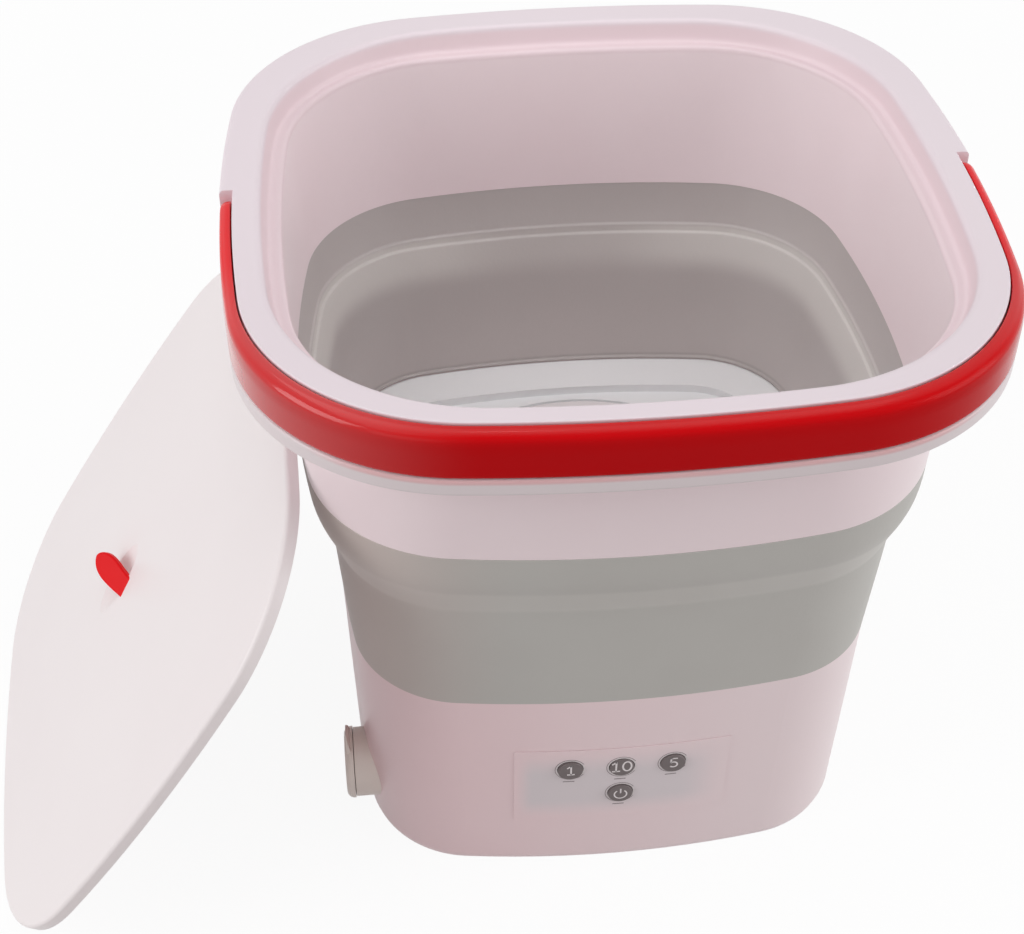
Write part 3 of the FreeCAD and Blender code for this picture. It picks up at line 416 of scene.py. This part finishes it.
def ringed(stations, turn):
    """Grid of points of a profile of stations carried round the bowed square."""
    half, corner, bow, side, z = [column[:, None] for column in stations.T]
    x, y = bowed_square(half, corner, bow, side, np.atleast_2d(turn))
    return np.stack([x, y, np.broadcast_to(z, x.shape)], axis=-1)


def inner_faces(piece):
    """1 for each face of a piece whose normal points to the tub's axis, otherwise 0."""
    faces = piece.data.polygons
    centres = np.empty(3 * len(faces))
    normals = np.empty(3 * len(faces))
    faces.foreach_get("center", centres)
    faces.foreach_get("normal", normals)
    outwards = (centres * normals).reshape(-1, 3)[:, :2].sum(axis=1)
    return (outwards < 0).astype(np.int32)


outside = [BASE_TOP, FOLD_LOW, FOLD_CREASE, FOLD_BEND, FOLD_STEP, FOLD_SHOULDER, BAND_FOOT]
outside += [BAND_HIGH, SHELL_FOOT]
inside = [inward(station, FOLD_WALL) for station in (SHELL_FOOT, BAND_HIGH, BAND_FOOT)]
inside += [STEP_TOP, STEP_HIGH, STEP_MIDDLE, STEP_LOW]
inside += [inward(station, FOLD_WALL) for station in (FOLD_BEND, FOLD_CREASE, FOLD_LOW)]
inside += [
    (*inward(BASE_TOP, FOLD_WALL)[:4], BASE_TOP[4] + FOOT_HIGH),
    (*inward(BASE_TOP, FOOT_LIP)[:4], BASE_TOP[4] + FOOT_HIGH / 2),
    inward(BASE_TOP, FOOT_LIP),
]
wall_loop = eased(outside + inside + outside[:1], OUTSIDE_ROUNDS + INSIDE_ROUNDS)
wall_loop = evened([wall_loop], WALL_STEP)[0][:-1]
wall_grid = ringed(wall_loop, round_turns(WALL_SIDES, WALL_CORNERS))

# Its outer face has painted light on the sloped shoulder above the crease, and a painted warm shade
# on the left side.
CREASE_FROM = (0.1530, 0.1560)
CREASE_TO = (0.1665, 0.1695)
CREASE_SHARE = 0.22
CREASE_PAINTED_LIGHT = (232, 230, 224)
LEFT_SHADE_FROM = -0.040
PAINTED_LEFT_WARM_SHADE = (206, 184, 178)
soft_grey = moulded(
    "soft_grey", (195, 194, 189), (188, 186, 181), 0.5, grain=0.1, grain_size=700.0, cloud=20.0
)
_, across, _, height = axes(soft_grey)
crease = risen(height, *CREASE_FROM) - risen(height, *CREASE_TO)
tone(soft_grey, crease * CREASE_SHARE, CREASE_PAINTED_LIGHT)
tone(soft_grey, risen(across, LEFT_SHADE_FROM, -PAINTED_SIDE_REACH) * PAINTED_SIDE_SHARE, PAINTED_LEFT_WARM_SHADE)

# Its inner face has painted light, lighter towards the bottom, and a painted sheen in a ring below
# the steps, strongest at the sides; a painted shade line runs along its foot.
RING_FROM = (0.1440, 0.1560)
RING_TO = (0.1690, 0.1665)
RING_SIDES = (0.015, 0.065)
RING_BACK_SHARE = 0.35
RING_PAINTED_SHEEN = (216, 212, 208)
LOWER_FROM = (0.1480, 0.1020)
LOWER_SHARE = 0.5
LOWER_PAINTED_LIGHT = (218, 209, 207)
FOOT_FROM = (0.1032, 0.1016)
FOOT_PAINTED_SHADE = (192, 185, 183)
soft_inside = moulded(
    "soft_inside", (199, 193, 191), (192, 185, 183), 0.5, grain=0.1, grain_size=700.0, cloud=20.0
)
_, across, _, height = axes(soft_inside)
aside = risen(across.maths("ABSOLUTE", across), *RING_SIDES)
ring = risen(height, *RING_FROM) * risen(height, *RING_TO)
tone(soft_inside, risen(height, *LOWER_FROM) * LOWER_SHARE, LOWER_PAINTED_LIGHT)
tone(soft_inside, ring * (RING_BACK_SHARE + aside * (1 - RING_BACK_SHARE)), RING_PAINTED_SHEEN)
tone(soft_inside, risen(height, *FOOT_FROM), FOOT_PAINTED_SHADE)

folding_wall = grid_piece("folding_wall", [wall_grid], soft_grey, True, True)
folding_wall.data.materials.append(soft_inside)
folding_wall.data.polygons.foreach_set("material_index", inner_faces(folding_wall))
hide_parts("fold_wall", "upper_band")
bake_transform(folding_wall)

# Upper shell. The white upper tub with a stepped seat for the lid, a flat broad rim, a recess
# along the front for the handle and a hanging lip below it. All edges are softly rounded.
RIM_Z = 262.0
SEAT_Z = 253.2
SHELF_Z = 243.5
LIP_Z = 237.0
PLATE_Z = 241.1
PIVOT_Z = 252.75
RECESS_END_R = 9.25
RECESS_END_ANGLES = np.radians([90, 75, 60, 45, 30, 15])
SHELL_INSIDE = (117.0, 56.0, 427.6, 0.0, 188.0)
SEAT_EDGE = (117.9, 66.6, 628.0, 0.0, SEAT_Z)
SEAT_WALL = (122.8, 74.6, 628.0, 0.0, SEAT_Z)
RIM_EDGE = (125.4, 77.5, 628.0, 0.0, RIM_Z)
RIM_OUT = (140.0, 81.0, 628.0, 0.0)
RECESS = (133.5, 80.0, 628.0, 1.6)
LIP_INSIDE = (137.6, 78.6, 625.6, 0.0)
SHELL_NECK = (120.8, 69.4, 628.0, 0.0)
SEAT_ROUNDS = [2.0, 1.8, 1.8]
END_ROUNDS = [0.0] * len(RECESS_END_ANGLES)
LIP_ROUNDS = [2.6, 0.4, 0.6, 1.0, 1.0, 0.4]
FRONT_ROUNDS = [*SEAT_ROUNDS, 0.6, *END_ROUNDS, 0.6, 1.6, *LIP_ROUNDS]
BACK_ROUNDS = [*SEAT_ROUNDS, 2.2, *END_ROUNDS, 0.0, 0.0, *LIP_ROUNDS]
SHELL_STEP = 2.0
SHELL_SIDES = 12
SHELL_CORNERS = 30
RECESS_END_SHARES = (1.0, 0.5)


def shell_profile(edge):
    """Stations of the shell from its inner foot over the rim and lip to its outer foot."""
    return [
        SHELL_INSIDE,
        SEAT_EDGE,
        SEAT_WALL,
        RIM_EDGE,
        (*edge, RIM_Z),
        *[(*edge, PIVOT_Z - RECESS_END_R * math.cos(angle)) for angle in RECESS_END_ANGLES],
        (*edge, SHELF_Z),
        (*RIM_OUT, SHELF_Z),
        (*RIM_OUT, LIP_Z),
        (*LIP_INSIDE, LIP_Z),
        (*LIP_INSIDE, PLATE_Z),
        (*SHELL_NECK, PLATE_Z),
        (*SHELL_NECK, LIP_Z),
        SHELL_FOOT,
        SHELL_INSIDE,
    ]


def end_turn(stations):
    """Turn at which the recess ends on each station: its end wall is round about the pivot."""
    half, corner, bow, side, z = stations.T
    first = arc_centres(half, corner, bow, side)[4]
    down = np.clip(PIVOT_Z - z, 0, RECESS_END_R)
    return (np.arcsin(np.sqrt(RECESS_END_R ** 2 - down ** 2) / bow) / first)[:, None]


# The front half has the recess and reaches past the middle of both sides, up to the recess's
# round ends; the back half takes the rest of the ring.
front, back = evened(
    [eased(shell_profile(RECESS), FRONT_ROUNDS), eased(shell_profile(RIM_OUT), BACK_ROUNDS)],
    SHELL_STEP,
)
all_turns = round_turns(SHELL_SIDES, SHELL_CORNERS)
front_turns = np.append(all_turns[all_turns >= LEFT_MIDDLE], float(ARCS))
front_rows = np.repeat(front_turns[None], len(front), 0)
end_rows = end_turn(front) * np.array([RECESS_END_SHARES])
front_grid = ringed(
    front, np.hstack([LEFT_MIDDLE - end_rows, front_rows, ARCS + end_rows[:, ::-1]])
)
back_turns = all_turns[(all_turns >= 1) & (all_turns <= LEFT_MIDDLE - 1)]
back_rows = np.repeat(back_turns[None], len(back), 0)
reach = end_turn(back)
share = np.linspace(0, 1, SHELL_SIDES, endpoint=False)[None]
side_rows = reach + (1 - reach) * share
back_grid = ringed(back, np.hstack([side_rows, back_rows, LEFT_MIDDLE - side_rows[:, ::-1]]))

SEAT_FROM = (0.2500, 0.2530)
SEAT_PAINTED_SHADE = (235, 214, 219)
RIM_FROM = (0.2590, 0.2612)
RIM_REACH = (0.066, 0.070)
RIM_PAINTED_SHADE = (236, 223, 229)
LIP_FROM = (0.2445, 0.2425)
LIP_FRONT = (0.004, -0.020)
LIP_PAINTED_SHADE = (228, 217, 219)
RED_REFLECTION_FROM = (0.2412, 0.2424)
RED_REFLECTION_TO = (0.2435, 0.2430)
RED_REFLECTION_FRONT = (-0.112, -0.130)
RED_REFLECTION_SHARE = 0.4
PAINTED_RED_REFLECTION = (216, 96, 98)
CORNER_CENTRE = 0.059
OVER_ALL_HEIGHTS = 1.0


def past_corners(place):
    """Distance from the square through the corner centres, as seen from above.

    The corner centre is taken from the absolute coordinates; what is left above nought, with
    the height taken out, is a vector whose length is the distance.
    """
    corner = (CORNER_CENTRE, CORNER_CENTRE, OVER_ALL_HEIGHTS)
    past = place.node("ShaderNodeVectorMath", {"operation": "ABSOLUTE"}, {0: place})
    past = place.node("ShaderNodeVectorMath", {"operation": "SUBTRACT"}, {0: past, 1: corner})
    past = place.node("ShaderNodeVectorMath", {"operation": "MAXIMUM"}, {0: past, 1: (0, 0, 0)})
    return place.node("ShaderNodeVectorMath", {"operation": "LENGTH"}, {0: past}, "Value")


# Painted shade: the seat is pinker and darker, the rim's top and outer wall darker, and the front
# of the lip greyer under the handle. A painted reflection of the handle's red lies on the lip's
# edge.
tub_white = moulded("tub_white", (250, 236, 239), (246, 227, 231), 0.36)
place, _, depth, height = axes(tub_white)
outer = risen(past_corners(place), *RIM_REACH)
lip_shade = outer * risen(depth, *LIP_FRONT) * risen(height, *LIP_FROM)
red_reflection = risen(height, *RED_REFLECTION_FROM) * risen(height, *RED_REFLECTION_TO) * RED_REFLECTION_SHARE
tone(tub_white, risen(height, *SEAT_FROM), SEAT_PAINTED_SHADE)
tone(tub_white, outer.maths("MAXIMUM", outer, risen(height, *RIM_FROM)), RIM_PAINTED_SHADE)
tone(tub_white, lip_shade, LIP_PAINTED_SHADE)
tone(tub_white, outer * risen(depth, *RED_REFLECTION_FRONT) * red_reflection, PAINTED_RED_REFLECTION)

shell_grid = np.concatenate([front_grid, back_grid], axis=1)[:-1]
shell = grid_piece("tub_shell", [shell_grid], tub_white, True, True)
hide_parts("upper_shell")
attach(shell, "shell")

# Handle and pins. A glossy red bow of moulded plastic that lies in the recess of the shell. It
# swings up on two steel pins, which are pressed into the shell and pass through its round ends.
dress(steel, "pivot_pins")
HANDLE_LOW_Z = 244.0
HANDLE_TOP_Z = 261.5
HANDLE_INNER = (134.0, 80.5, 628.5, 1.6)
HANDLE_END_R = (HANDLE_TOP_Z - HANDLE_LOW_Z) / 2
CROWN_INNER = 0.45
CROWN_OUTER = 0.90
CROWN_DROP = 1.8
CHEEK_DROP = 6.0
HANDLE_ROUNDS = [0.8, 0.9, 1.4, 1.6, 2.0, 1.4]
HANDLE_SUPPORT = 0.2
HANDLE_STEP = 1.5
END_STEPS = 14
PIN_HOLE_R = 3.3
PIN_HOLE_SIDES = 64
DRILL_LONG = 3 * RIM_OUT[0]


def handle_station(through, z):
    """Ring of the handle at a share of its thickness, from the inner to the outer face."""
    return (*(np.array(HANDLE_INNER) * (1 - through) + np.array(RIM_OUT) * through), z)


section = [
    handle_station(0.5, HANDLE_LOW_Z),
    handle_station(0.0, HANDLE_LOW_Z),
    handle_station(0.0, HANDLE_TOP_Z),
    handle_station(CROWN_INNER, HANDLE_TOP_Z),
    handle_station(CROWN_OUTER, HANDLE_TOP_Z - CROWN_DROP),
    handle_station(1.0, HANDLE_TOP_Z - CHEEK_DROP),
    handle_station(1.0, HANDLE_LOW_Z),
    handle_station(0.5, HANDLE_LOW_Z),
]
section = eased(section, HANDLE_ROUNDS, support=HANDLE_SUPPORT)
section = evened([section], HANDLE_STEP)[0][:-1]

# Each end is a half disc about the pivot: the turn follows the sine of an angle and the height
# is drawn to the pivot by its cosine.
bend = np.radians(np.linspace(0, 90, END_STEPS))[None]
side_angle = arc_centres(*section[:, :4].T)[4]
end_rows = np.arcsin(HANDLE_END_R * np.sin(bend) / section[:, 2:3]) / side_angle[:, None]
bow_rows = np.repeat(front_turns[None, 1:-1], len(section), 0)
handle_grid = ringed(
    section, np.hstack([LEFT_MIDDLE - end_rows[:, ::-1], bow_rows, ARCS + end_rows])
)
full_height = np.ones((1, bow_rows.shape[1]))
height_share = np.hstack([np.cos(bend)[:, ::-1], full_height, np.cos(bend)])
handle_grid[..., 2] = PIVOT_Z + (handle_grid[..., 2] - PIVOT_Z) * height_share

# The plastic is deep red on its front; painted light makes it more vivid on top and on the arms.
# A heavier coat makes it shiny at the top edge and the front corners.
HANDLE_SPECULAR = 0.06
COAT_ROUGHNESS = 0.12
COAT_PLAIN = 0.02
COAT_TOP = 0.35
COAT_LEFT = 0.85
COAT_RIGHT = 0.5
TOP_EDGE_FROM = (0.2604, 0.2613)
LEFT_CORNER_FROM = (-0.055, -0.115)
LEFT_CORNER_FRONT = (-0.030, -0.080)
RIGHT_CORNER_FROM = (0.108, 0.136)
RIGHT_CORNER_FRONT = (-0.040, -0.085)
TOP_FROM = (0.2565, 0.2600)
TOP_PAINTED_LIGHT = (208, 4, 12)
ARMS_FROM = (-0.090, -0.030)
ARMS_PAINTED_LIGHT = (234, 26, 34)
handle_red = moulded(
    "handle_red", (199, 2, 10), (190, 1, 8), 0.24, grain=0.01, grain_size=500.0, cloud=18.0
)
red_shader = handle_red.node_tree.nodes["Principled BSDF"]
red_shader.inputs["Specular IOR Level"].default_value = HANDLE_SPECULAR
red_shader.inputs["Coat Roughness"].default_value = COAT_ROUGHNESS
_, across, depth, height = axes(handle_red)
left_corner = risen(across, *LEFT_CORNER_FROM) * risen(depth, *LEFT_CORNER_FRONT)
right_corner = risen(across, *RIGHT_CORNER_FROM) * risen(depth, *RIGHT_CORNER_FRONT)
coat = COAT_PLAIN + risen(height, *TOP_EDGE_FROM) * COAT_TOP
coat = coat + left_corner * COAT_LEFT + right_corner * COAT_RIGHT
handle_red.node_tree.links.new(coat.socket, red_shader.inputs["Coat Weight"])
tone(handle_red, risen(height, *TOP_FROM), TOP_PAINTED_LIGHT)
tone(handle_red, risen(depth, *ARMS_FROM), ARMS_PAINTED_LIGHT)

handle = grid_piece("bail_handle", [handle_grid], handle_red, True)
drill_shape = bmesh.new()
bmesh.ops.create_cone(
    drill_shape,
    cap_ends=True,
    segments=PIN_HOLE_SIDES,
    radius1=PIN_HOLE_R * MM,
    radius2=PIN_HOLE_R * MM,
    depth=DRILL_LONG * MM,
    matrix=Matrix.Translation((0, 0, PIVOT_Z * MM)) @ Matrix.Rotation(math.pi / 2, 4, "Y"),
)
drill_mesh = bpy.data.meshes.new("drill")
drill_shape.to_mesh(drill_mesh)
drill_shape.free()
drill = bpy.data.objects.new("drill", drill_mesh)
bpy.context.scene.collection.objects.link(drill)
holes = handle.modifiers.new("pin_holes", "BOOLEAN")
holes.operation = "DIFFERENCE"
holes.solver = "EXACT"
holes.object = drill
with_holes = handle.evaluated_get(bpy.context.evaluated_depsgraph_get())
drilled = bpy.data.meshes.new_from_object(with_holes)
handle.modifiers.clear()
handle.data = drilled
drilled.set_sharp_from_angle(angle=math.radians(SMOOTH_ANGLE))
bpy.data.objects.remove(drill)
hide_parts("handle")
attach(handle, "handle")

# Push buttons and label. Dark satin buttons come through the front wall; a thin clear film with
# a cool tint is glued around them. Each has a light mark: run times, and a stand-by sign.
# Places are a button's middle, across and up, its figure and the figure's height, in millimetres.
BUTTON_PLACES = {
    "button_one": (-20.8, 59.5, "1", 5.9),
    "button_ten": (-0.3, 59.5, "10", 6.3),
    "button_five": (20.2, 59.5, "5", 5.9),
    "button_power": (-0.3, 43.2, "", 0.0),
}
button_dark = moulded(
    "button_dark", (112, 101, 101), (101, 91, 91), 0.4, grain_size=1200.0, cloud=200.0
)
dress(button_dark, *BUTTON_PLACES)

# The film has the colours of the base, with its painted side light, at its border and a cool tint
# that fades in from each side; a painted shade lies along its edges in their upper half.
FILM_HALF = 0.043
FILM_MIDDLE_Z = 0.0495
FILM_HALF_HIGH = 0.0215
FILM_LOW_Z = FILM_MIDDLE_Z - FILM_HALF_HIGH
FILM_TOP_Z = FILM_MIDDLE_Z + FILM_HALF_HIGH
FADE_LEFT = 0.008
FADE_RIGHT = 0.020
FADE_TOP = 0.016
FADE_LOW = 0.013
FILM_TINT = (225, 216, 219)
FILM_EDGE = 0.0002
EDGE_PAINTED_SHADE = (241, 222, 225)
film_cool = with_painted_side_light("film_cool")
_, across, _, height = axes(film_cool)
across_fade = risen(across, -FILM_HALF, FADE_LEFT - FILM_HALF)
across_fade = across_fade * risen(across, FILM_HALF, FILM_HALF - FADE_RIGHT)
height_fade = risen(height, FILM_TOP_Z, FILM_TOP_Z - FADE_TOP)
height_fade = height_fade * risen(height, FILM_LOW_Z, FILM_LOW_Z + FADE_LOW)
tone(film_cool, across_fade * height_fade, FILM_TINT)
side_room = FILM_HALF - across.maths("ABSOLUTE", across)
high_room = FILM_HALF_HIGH - height.maths("ABSOLUTE", height - FILM_MIDDLE_Z)
edge = risen(across.maths("MINIMUM", side_room, high_room), FILM_EDGE, 0.0)
tone(film_cool, edge * risen(height, FILM_LOW_Z, FILM_MIDDLE_Z), EDGE_PAINTED_SHADE)
dress(film_cool, "control_label")

# Prints: a light halo, a thin line and a dash around each button on the film, and its sign.
BASE_LOW = (104.2, 44.0, 430.0, 0.0, 2.5)
FILM_FACE = 0.40
BUTTON_FACE_Y = -106.9
INK = 0.04
ARC_POINTS = 61
LINE_POINTS = 9
FULL_TURN = (0, 360)
HALO_R = 5.5
HALO_WIDE = 0.55
LINE_R = 6.05
LINE_WIDE = 0.26
LINE_ARC = (30, 330)
DASH_LEFT = 2.8
DASH_RIGHT = 1.8
DASH_DROP = 7.6
DASH_WIDE = 0.5
FIGURE_STROKE = 0.12
FIGURE_RISE = 0.9
TEN_LEFT = (-0.4, 0)
TEN_RIGHT = (0.32, 0)
STANDBY_R = 2.5
STANDBY_ARC = (125, 415)
STANDBY_LOW = 0.6
STANDBY_HIGH = 3.4
STANDBY_WIDE = 0.6
print_light = moulded("print_light", (240, 234, 234), (230, 223, 224), 0.45, grain=0.03, cloud=300.0)
print_dark = moulded("print_dark", (150, 138, 140), (134, 122, 124), 0.5, grain=0.03, cloud=300.0)


def wall_y(x, z):
    """Front face of the label: the base's bowed front wall at a height, moved out by the film."""
    share = (z - BASE_LOW[4]) / (BASE_TOP[4] - BASE_LOW[4])
    half = BASE_LOW[0] + (BASE_TOP[0] - BASE_LOW[0]) * share
    bow = BASE_LOW[2]
    return bow - half - np.sqrt(bow ** 2 - x ** 2) - FILM_FACE


def stroke(path, wide, face_y=None):
    """Printed stroke: a path of x and z points, spread sideways by its width, laid on a face."""
    run = np.gradient(path, axis=0)
    aside = np.stack([-run[:, 1], run[:, 0]], axis=-1) / np.hypot(*run.T)[:, None]
    spread = path[:, None] + aside[:, None] * wide * np.array([-0.5, 0.5])[None, :, None]
    x, z = spread[..., 0], spread[..., 1]
    y = wall_y(x, z) if face_y is None else np.full_like(x, face_y)
    return np.stack([x, y, z], axis=-1)


def arc_path(centre, radii, start, end):
    """Points of an elliptical arc: centre plus the radii times cosine and sine of an angle."""
    angle = np.radians(np.linspace(start, end, ARC_POINTS))
    x = centre[0] + radii[0] * np.cos(angle)
    z = centre[1] + radii[1] * np.sin(angle)
    return np.stack([x, z], axis=-1)


def line_path(start, end):
    """Points of a straight line."""
    return np.linspace(start, end, LINE_POINTS)


# The figures are drawn about nought with a height of one.
ONE = [line_path((-0.25, 0.22), (0.06, 0.46)), line_path((0.02, 0.5), (0.02, -0.44))]
ONE += [line_path((-0.24, -0.43), (0.28, -0.43))]
FIVE = [line_path((-0.20, 0.43), (0.27, 0.43)), line_path((-0.15, 0.5), (-0.19, 0.0))]
FIVE += [arc_path((0.0, -0.18), (0.26, 0.25), 140, -140)]
NOUGHT = [arc_path((0.0, 0.0), (0.27, 0.43), *FULL_TURN)]
TEN = [path + TEN_LEFT for path in ONE] + [path + TEN_RIGHT for path in NOUGHT]
FIGURES = {"1": ONE, "5": FIVE, "10": TEN}
for name, (x, z, figure, high) in BUTTON_PLACES.items():
    middle = (x, z)
    dash_z = z - DASH_DROP
    halo = stroke(arc_path(middle, (HALO_R, HALO_R), *FULL_TURN), HALO_WIDE)
    line = stroke(arc_path(middle, (LINE_R, LINE_R), *LINE_ARC), LINE_WIDE)
    dash = stroke(line_path((x - DASH_LEFT, dash_z), (x + DASH_RIGHT, dash_z)), DASH_WIDE)
    marks = [grid_piece(name + "_halo", [halo], print_light)]
    marks.append(grid_piece(name + "_line", [line, dash], print_dark))
    for mark in marks:
        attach(mark, "base")
    if figure:
        paths = [np.array((x, z + FIGURE_RISE)) + path * high for path in FIGURES[figure]]
        wide = FIGURE_STROKE * high
    else:
        paths = [arc_path(middle, (STANDBY_R, STANDBY_R), *STANDBY_ARC)]
        paths.append(line_path((x, z + STANDBY_LOW), (x, z + STANDBY_HIGH)))
        wide = STANDBY_WIDE
    strokes = [stroke(path, wide, BUTTON_FACE_Y - INK) for path in paths]
    sign = grid_piece(name + "_sign", strokes, print_light)
    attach(sign, name)

# Lid and pull. A loose bowed-square lid with a short skirt and a long finger scoop; a red leaf
# of the handle's plastic leans over the scoop. The lid leans on the left side of the tub.
PULL_SPECULAR = 0.1
lid_white = moulded("lid_white", (245, 238, 238), (241, 232, 233), 0.34, cloud=10.0)
dress(lid_white, "lid")
# The pull is the handle's plastic, drawn in a lighter red as painted light.
lit_pull_red = moulded(
    "lit_pull_red", (232, 14, 22), (225, 10, 18), 0.3, grain=0.01, grain_size=500.0, cloud=18.0
)
pull_shader = lit_pull_red.node_tree.nodes["Principled BSDF"]
pull_shader.inputs["Specular IOR Level"].default_value = PULL_SPECULAR
dress(lit_pull_red, "lid_pull")

# Studio. A plain white floor that goes over into a white backdrop, large soft lights above, at
# both sides and in front, a small one into the tub, and the camera at the photograph's angle.
WHITE = (1.0, 1.0, 1.0, 1.0)
FLOOR_GREY = (190, 183, 183)
FLOOR_HALF = 6.0
FLOOR_GLOW = 0.92
FLOOR_FADE = (0.4, 1.4)
SKY_LIGHT = 0.4
floor_corners = [(-1, -1), (1, -1), (1, 1), (-1, 1)]
floor_mesh = bpy.data.meshes.new("studio_floor")
floor_mesh.from_pydata(
    [(x * FLOOR_HALF, y * FLOOR_HALF, 0) for x, y in floor_corners], [], [(0, 1, 2, 3)]
)
studio_floor = bpy.data.objects.new("studio_floor", floor_mesh)
bpy.context.scene.collection.objects.link(studio_floor)


def seen_rays(start):
    """1 for camera, glossy and transmission rays, and 0 for the rays that light the object."""
    camera_ray = start.node("ShaderNodeLightPath", output="Is Camera Ray")
    glossy_ray = start.node("ShaderNodeLightPath", output="Is Glossy Ray")
    clear_ray = start.node("ShaderNodeLightPath", output="Is Transmission Ray")
    return camera_ray + glossy_ray + clear_ray


# Seen rays find the floor nearly all glow, so that it is white and still takes the shadow.
floor_paint = bpy.data.materials.new("floor_paint")
floor_paint.use_nodes = True
floor_tree = floor_paint.node_tree
start = Signal(floor_tree)
grey_paint = start.node("ShaderNodeBsdfDiffuse", None, {"Color": linear(*FLOOR_GREY)})
white_paint = start.node("ShaderNodeBsdfDiffuse", None, {"Color": WHITE})
glow = start.node("ShaderNodeEmission", None, {"Color": WHITE, "Strength": 1.0})
floor_place = start.node("ShaderNodeTexCoord", output="Object")
far = start.node("ShaderNodeVectorMath", {"operation": "LENGTH"}, {0: floor_place}, "Value")
glow_share = FLOOR_GLOW + risen(far, *FLOOR_FADE) * (1 - FLOOR_GLOW)
backdrop = start.node("ShaderNodeMixShader", None, {0: glow_share, 1: white_paint, 2: glow})
surface = start.node("ShaderNodeMixShader", None, {0: seen_rays(start), 1: grey_paint, 2: backdrop})
floor_tree.links.new(surface.socket, floor_tree.nodes["Material Output"].inputs["Surface"])
floor_mesh.materials.append(floor_paint)

world = bpy.data.worlds.new("studio")
bpy.context.scene.world = world
world.use_nodes = True
start = Signal(world.node_tree)
sky = start.node("ShaderNodeBackground", None, {"Color": WHITE, "Strength": SKY_LIGHT})
paper = start.node("ShaderNodeBackground", None, {"Color": WHITE, "Strength": 1.0})
around = start.node("ShaderNodeMixShader", None, {0: seen_rays(start), 1: sky, 2: paper})
world.node_tree.links.new(around.socket, world.node_tree.nodes["World Output"].inputs["Surface"])


def soft_light(name, place, aim, size, power, spread=180.0):
    """Square area light at a place, turned to its aim, with a spread of its beam in degrees."""
    lamp = bpy.data.lights.new(name, "AREA")
    lamp.size = size
    lamp.spread = math.radians(spread)
    lamp.energy = power
    holder = bpy.data.objects.new(name, lamp)
    bpy.context.scene.collection.objects.link(holder)
    holder.location = place
    holder.rotation_mode = "QUATERNION"
    holder.rotation_quaternion = (Vector(aim) - Vector(place)).to_track_quat("-Z", "Y")


TUB_MIDDLE = (0.0, 0.0, 0.1)
TUB_BOTTOM = (0.0, 0.03, 0.0)
soft_light("top_light", (-0.1, 0.0, 1.7), TUB_MIDDLE, size=1.8, power=7.8)
soft_light("left_light", (-1.7, -0.5, 0.9), TUB_MIDDLE, size=1.2, power=13.0)
soft_light("right_light", (1.7, -0.5, 0.7), TUB_MIDDLE, size=1.2, power=13.5)
soft_light("tub_light", (0.0, 0.03, 1.5), TUB_BOTTOM, size=0.12, power=0.015, spread=16.0)
soft_light("front_light", (-0.9, -1.6, 0.6), TUB_MIDDLE, size=1.0, power=1.5)

# Place, turn, tilt and roll of the camera follow the outlines in the photograph.
LENS = 63.0
SENSOR_WIDTH = 36.0
NEAREST = 0.01
CAMERA_PLACE = (-0.09101, -0.55384, 0.61638)
CAMERA_TURN = -5.9396
CAMERA_TILT = 48.7091
CAMERA_ROLL = 0.1918
camera = bpy.data.cameras.new("photo_camera")
camera.sensor_width = SENSOR_WIDTH
camera.lens = LENS
camera.clip_start = NEAREST
turned = Matrix.Rotation(math.radians(CAMERA_TURN), 4, "Z")
tilted = Matrix.Rotation(math.radians(CAMERA_TILT), 4, "X")
rolled = Matrix.Rotation(math.radians(CAMERA_ROLL), 4, "Z")
photo_camera = bpy.data.objects.new("photo_camera", camera)
bpy.context.scene.collection.objects.link(photo_camera)
photo_camera.matrix_world = Matrix.Translation(CAMERA_PLACE) @ turned @ tilted @ rolled
bpy.context.scene.camera = photo_camera
bpy.context.scene.view_settings.view_transform = "Standard"
